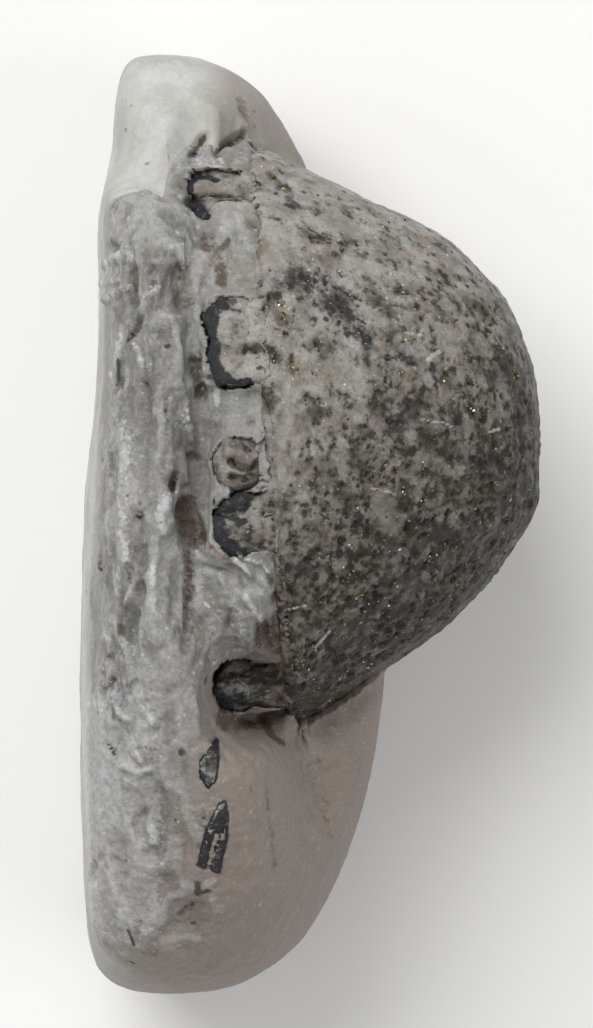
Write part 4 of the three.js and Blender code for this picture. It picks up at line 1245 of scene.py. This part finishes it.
colour = coated(tree, here, colour, CUP_COATS)
# Pale cream specks: the calcite's own pale grains, and painted glints.
cream_and_glints = use(tree, blotches, Vector=here, Size=0.33, Level=0.67, Softness=0.04)
colour = laid(tree, colour, CUP_CREAM, cream_and_glints, 0.5)
end = use(tree, frayed, Vector=here, Layer=layer(tree, "end"), Size=0.7, Fray=1.9, Softness=0.45)
colour = laid(tree, colour, GLASSY_BLACK, end, 0.95)
# Painted glints: bluish points of light on the black breaks.
painted_glints = use(tree, blotches, Vector=here, Size=0.4, Level=0.65, Softness=0.05)
colour = laid(tree, colour, PAINTED_GLINT_BLUE, end, painted_glints, 0.4)
grain = grains(tree, here, *CUP_GRAIN)["Fac"]
colour = varied(tree, colour, grain, GRAIN_SPREAD, 0.22)
dulled = spanned(tree, grain, 0.5 - GRAIN_SPREAD, 0.5 + GRAIN_SPREAD, 0.3, 0.55)
gloss = maths(tree, "SUBTRACT", dulled, maths(tree, "MULTIPLY", end, 0.15))
height = maths(tree, "SUBTRACT", grain, maths(tree, "MULTIPLY", pocks, 0.8))
wired(tree, shader, colour, gloss, height, 0.8, 0.16 * MM)
shader.inputs["Specular IOR Level"].default_value = CUP_SHEEN
dress(cup, calcite, "mottled_calcite", "calyx")

# ---------------------------------------------------------------- arm stumps
# The roots of the arms, one or two to each ray, broken off a few millimetres behind the rim. Each is a short
# bar of stacked calcite ossicles, beige where it leaves the cup and blue-black and glassy at the break.

ARM_VOXEL = 0.11 * MM
ARM_GROWTH = 0.08 * MM  # closes the joints between neighbours
ARM_SPREAD = 1.1  # widening across the arm, for the same reason
UNDER_CUP = 0.3 * MM  # how far a stump is drawn in under the plates that carry it
SEAM_WIDTH = 0.4 * MM  # on either side of the seam with them
BLACK_EDGE = (0.1, 0.7)  # how far from the break its black rim is full, and where it ends, in millimetres
ARM_CLEAN = 0.2
ARM_DENSE = (0.15, 0.3)  # how dirty a stump is, and how much its stain adds

# For each arm: the line of its break as (y, x), its dark marks, and how stained the rest is.
# The dark marks are the black calcite of each break, and partly painted shade: along the lower edge of arm_2b,
# and over arm_4, which lies under an overhang of rock; arm_4's stain is partly painted shade too.
STUMPS = {
    "arm_1a": (
        [(20.0, -6.7), (20.7, -6.9), (21.3, -8.0), (22.4, -8.15), (22.8, -7.6)],
        [([(-8.0, 21.5), (-8.0, 22.2), (-7.4, 22.6), (-6.8, 22.6), (-6.2, 22.4)], 0.45, 1.0)],
        0.1,
    ),
    "arm_1b": ([(18.1, -7.5), (21.0, -7.5)], [([(-7.4, 20.5), (-6.6, 20.0)], 1.5, 1.0)], 1.0),
    "arm_2a": (
        [(12.0, -6.45), (12.8, -6.8), (13.0, -7.05), (13.7, -6.95), (14.1, -6.5), (14.4, -5.8)],
        [
            ([(-6.4, 12.3), (-6.4, 13.1), (-6.3, 13.8), (-5.7, 14.0)], 0.7, 1.0),
            ([(-5.0, 13.8), (-4.6, 13.7)], 0.3, 0.5),
        ],
        0.25,
    ),
    "arm_2b": (
        [(8.9, -5.8), (9.3, -6.2), (9.8, -6.4), (10.7, -6.66), (11.5, -6.5), (11.9, -6.4)],
        [
            ([(-6.2, 11.4), (-6.2, 10.4), (-5.9, 9.7), (-5.4, 9.3)], 0.65, 1.0),
            ([(-5.6, 9.2), (-4.4, 9.1), (-3.6, 9.2)], 0.5, 1.0),
            ([(-4.1, 11.2), (-3.8, 10.8)], 0.7, 0.9),
        ],
        0.15,
    ),
    "arm_3a": (
        [(0.5, -6.3), (1.0, -6.0), (1.3, -5.7), (1.7, -5.0), (2.1, -4.7)],
        [([(-5.9, 1.0), (-5.2, 1.1), (-4.4, 1.1)], 0.8, 0.9)],
        0.7,
    ),
    "arm_3b": (
        [(-1.9, -5.2), (-1.4, -5.9), (-1.0, -6.15), (-0.4, -6.3), (0.8, -6.3)],
        [
            ([(-6.0, 0.6), (-5.9, -0.4), (-5.6, -1.1), (-5.2, -1.5)], 0.85, 1.0),
            ([(-5.2, 0.5), (-4.6, 0.2)], 0.7, 0.9),
            ([(-4.9, -1.5), (-4.3, -1.7)], 0.5, 0.8),
        ],
        0.3,
    ),
    "arm_4": (
        [(-12.1, -5.5), (-11.5, -6.3), (-10.5, -6.6), (-9.6, -6.2), (-9.1, -5.6)],
        [
            ([(-6.2, -11.2), (-5.0, -11.5), (-3.6, -11.7)], 1.2, 0.7),
            ([(-5.8, -10.2), (-4.4, -9.7)], 1.0, 0.6),
        ],
        0.5,
    ),
}
for node, (break_line, dark_marks, stained) in STUMPS.items():
    carried = node in CARRIED_ARMS
    name = node.replace("arm", "stump")
    arm = rooted(node, name) if carried else copy_of(node, name)
    points = places(arm)
    root, cut = points[:, 0].max(), points[:, 0].min()
    middle = (points[:, 1].max() + points[:, 1].min()) / 2
    along_break, at = np.array(break_line).T * MM
    target = np.interp(points[:, 1], along_break, at)
    points[:, 0] = root - (root - points[:, 0]) * (root - target) / (root - cut)
    points[:, 1] = middle + ARM_SPREAD * (points[:, 1] - middle)
    put(arm, points)
    voxel_skin(arm, ARM_VOXEL, rounds=4)
    shaped(arm, "DISPLACE", strength=ARM_GROWTH, mid_level=0)
    roughened(arm, "CLOUDS", 1.1, 0.3, finer=1)
    roughened(arm, "VORONOI", 0.5, 0.12)
    spots = places(arm)
    if carried:
        inward = UNDER_CUP * ramp(spots[:, 0], BASE_SEAM - SEAM_WIDTH, BASE_SEAM + SEAM_WIDTH)
        put(arm, spots - inward[:, None] * facing(arm))
    from_end = spots[:, 0] - np.interp(spots[:, 1], along_break, at)
    end = np.maximum(traced(arm, dark_marks), 1 - ramp(from_end / MM, *BLACK_EDGE))
    painted(arm, end=end, dark=stained, dense=ARM_DENSE[0] + ARM_DENSE[1] * stained, clean=ARM_CLEAN)
    if carried:
        picked(rock, arm, (0.0, PICKED_MARGIN), "arm_1b" if node == "arm_1a" else None)
    dress(arm, calcite, "dark_calcite", node)

# ---------------------------------------------------------------- loose ossicle
# A single round plate of an arm that came to rest on the shelf of rock between two rays, beige calcite with
# dark crescent-shaped grooves across its face.

OSSICLE_VOXEL = 0.1 * MM
OSSICLE_GROOVES = [
    ([(-5.2, 4.0), (-4.6, 3.6), (-3.9, 3.45), (-3.5, 3.9)], 0.45, -0.45),
    ([(-5.2, 3.0), (-4.5, 2.85), (-3.8, 2.95)], 0.4, -0.4),
    ([(-4.6, 5.2), (-4.0, 4.7)], 0.3, -0.2),
]
# Dark marks on the plate: along its crescent grooves, and painted shade down its right and lower side and
# along its left edge.
OSSICLE_STAIN_AND_SHADE = [
    ([(-5.2, 4.0), (-4.6, 3.6), (-3.9, 3.45), (-3.5, 3.9)], 0.7, 1.0),
    ([(-5.2, 3.0), (-4.5, 2.85), (-3.8, 2.95)], 0.6, 1.0),
    ([(-3.3, 4.2), (-3.3, 3.4), (-3.6, 2.7), (-4.2, 2.2)], 1.0, 1.0),
    ([(-6.3, 3.0), (-6.1, 3.7)], 0.5, 0.9),
]
OSSICLE_TOP = [([(-5.4, 5.2), (-5.3, 4.6)], 0.6, 0.35)]
GROOVE_BLACK = 0.55
ossicle = copy_of("loose_ossicle", "round_plate")
voxel_skin(ossicle, OSSICLE_VOXEL, rounds=4)
roughened(ossicle, "CLOUDS", 0.8, 0.2)
pressed(ossicle, OSSICLE_GROOVES + OSSICLE_TOP)
grooves = traced(ossicle, [(line, reach, GROOVE_BLACK) for line, reach, _ in OSSICLE_GROOVES])
# Its halo layer: dark along the grooves, and painted shade round the plate.
painted(ossicle, end=grooves, halo=traced(ossicle, OSSICLE_STAIN_AND_SHADE), clean=0.7, dense=0.35)
picked(rock, ossicle, (0.0, PICKED_MARGIN))
dress(ossicle, calcite, "mottled_calcite", "loose_ossicle")

# ---------------------------------------------------------------- arm fragments
# Two bits of arm that the rock's broken face cuts through: a small lens and a forked piece with two prongs.
# They are the same blue-black calcite and stand a hair above the stone.

SLIVER_VOXEL = 0.08 * MM
SLIVER_GROWTH = 0.08 * MM
SLIVER_EDGE = (0.85, 0.995)  # slope of its rounded edges, which are black
for node, name in zip(SLIVERS, ["lens_sliver", "forked_sliver"]):
    sliver = copy_of(node, name)
    voxel_skin(sliver, SLIVER_VOXEL, rounds=3)
    shaped(sliver, "DISPLACE", strength=SLIVER_GROWTH, mid_level=0)
    roughened(sliver, "CLOUDS", 0.5, 0.1)
    painted(sliver, end=1 - ramp(facing(sliver)[:, 2], *SLIVER_EDGE), dark=0.8)
    dress(sliver, calcite, "dark_calcite", node)

# ---------------------------------------------------------------- pyrite grains
# Tiny cubes of fool's gold, single and in clumps, left in the pits of the cup. The bright ones catch the
# light and the others have tarnished to dark bronze.

GRAINS = 420
GRAIN_SIZES = (0.06, 0.16)
GRAIN_CHANCE = (0.04, 0.25)  # added for places outside the pits, and for places where pits are few
CLUMP_GRAINS = 3
CLUMP_REACH = 0.9  # over the pit's radius
GOLD = (0.72, 0.6, 0.33, 1)
TARNISH = (0.07, 0.055, 0.03, 1)


def crystal(stretch, bevel):
    """The corners and faces of one little crystal: a block of unit size with bevelled edges."""
    bpy.ops.mesh.primitive_cube_add(size=1)
    block = bpy.context.object
    bpy.ops.object.mode_set(mode="EDIT")
    bpy.ops.transform.resize(value=stretch)
    bpy.ops.mesh.bevel(offset=bevel, segments=1, affect="EDGES")
    bpy.ops.object.mode_set(mode="OBJECT")
    corners = places(block).copy()
    faces = [list(face.vertices) for face in block.data.polygons]
    bpy.data.objects.remove(block)
    return corners, faces


def strewn(name, shape, spots, sizes):
    """One mesh of many copies of a crystal, each turned at random and set at its spot."""
    corners, faces = shape
    points, all_faces = [], []
    for spot, size in zip(spots, sizes):
        turn = Matrix.Rotation(rng.uniform(0, 2 * math.pi), 3, Vector(rng.normal(size=3)).normalized())
        first = len(points) * len(corners)
        points.append(corners @ np.array(turn).T * size + np.array(spot))
        all_faces += [[first + i for i in face] for face in faces]
    mesh = bpy.data.meshes.new(name)
    mesh.from_pydata(np.concatenate(points).tolist(), [], all_faces)
    piece = bpy.data.objects.new(name, mesh)
    bpy.context.scene.collection.objects.link(piece)
    return piece


spots = places(cup)
chance = open_face * (GRAIN_CHANCE[0] + pits**2) * (GRAIN_CHANCE[1] + density(spots))
grain_spots = list(spots[rng.choice(len(spots), GRAINS, replace=False, p=chance / chance.sum())])
for centre, radius in large:
    near = [i for _, i, _ in index.find_range(centre, CLUMP_REACH * radius)]
    grain_spots += [spots[i] for i in rng.choice(near, CLUMP_GRAINS)]
grain_sizes = rng.uniform(*GRAIN_SIZES, len(grain_spots)) * MM
pyrite_grains = strewn("pyrite_grains", crystal((1, 1, 1), 0.12), grain_spots, grain_sizes)
pyrite, tree, shader, here = finish_tree("pyrite")
worn = use(tree, blotches, Vector=here, Size=0.9, Level=0.42, Softness=0.06)
tree.links.new(laid(tree, GOLD, TARNISH, worn), shader.inputs["Base Color"])
dulled = spanned(tree, grains(tree, here, 20.0)["Fac"], 0, 1, 0.18, 0.5)
tree.links.new(dulled, shader.inputs["Roughness"])
shader.inputs["Metallic"].default_value = 1.0
pyrite_grains.data.materials.append(pyrite)
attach(pyrite_grains, "root")

# ---------------------------------------------------------------- calcite glints
# Clear little crystals of calcite strewn over the cup, which catch the light as white points.

GLINTS = 110
GLINT_SIZES = (0.06, 0.15)
GLINT_WHITE = (0.6, 0.6, 0.57, 1)
GLINT_ROUGHNESS = 0.15

glint_places = spots[rng.choice(len(spots), GLINTS, replace=False, p=open_face / open_face.sum())]
glint_sizes = rng.uniform(*GLINT_SIZES, GLINTS) * MM
glints = strewn("calcite_glints", crystal((1.2, 0.9, 0.6), 0.1), glint_places, glint_sizes)
glassy, _, shader, _ = finish_tree("clear_calcite")
shader.inputs["Base Color"].default_value = GLINT_WHITE
shader.inputs["Roughness"].default_value = GLINT_ROUGHNESS
glints.data.materials.append(glassy)
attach(glints, "root")
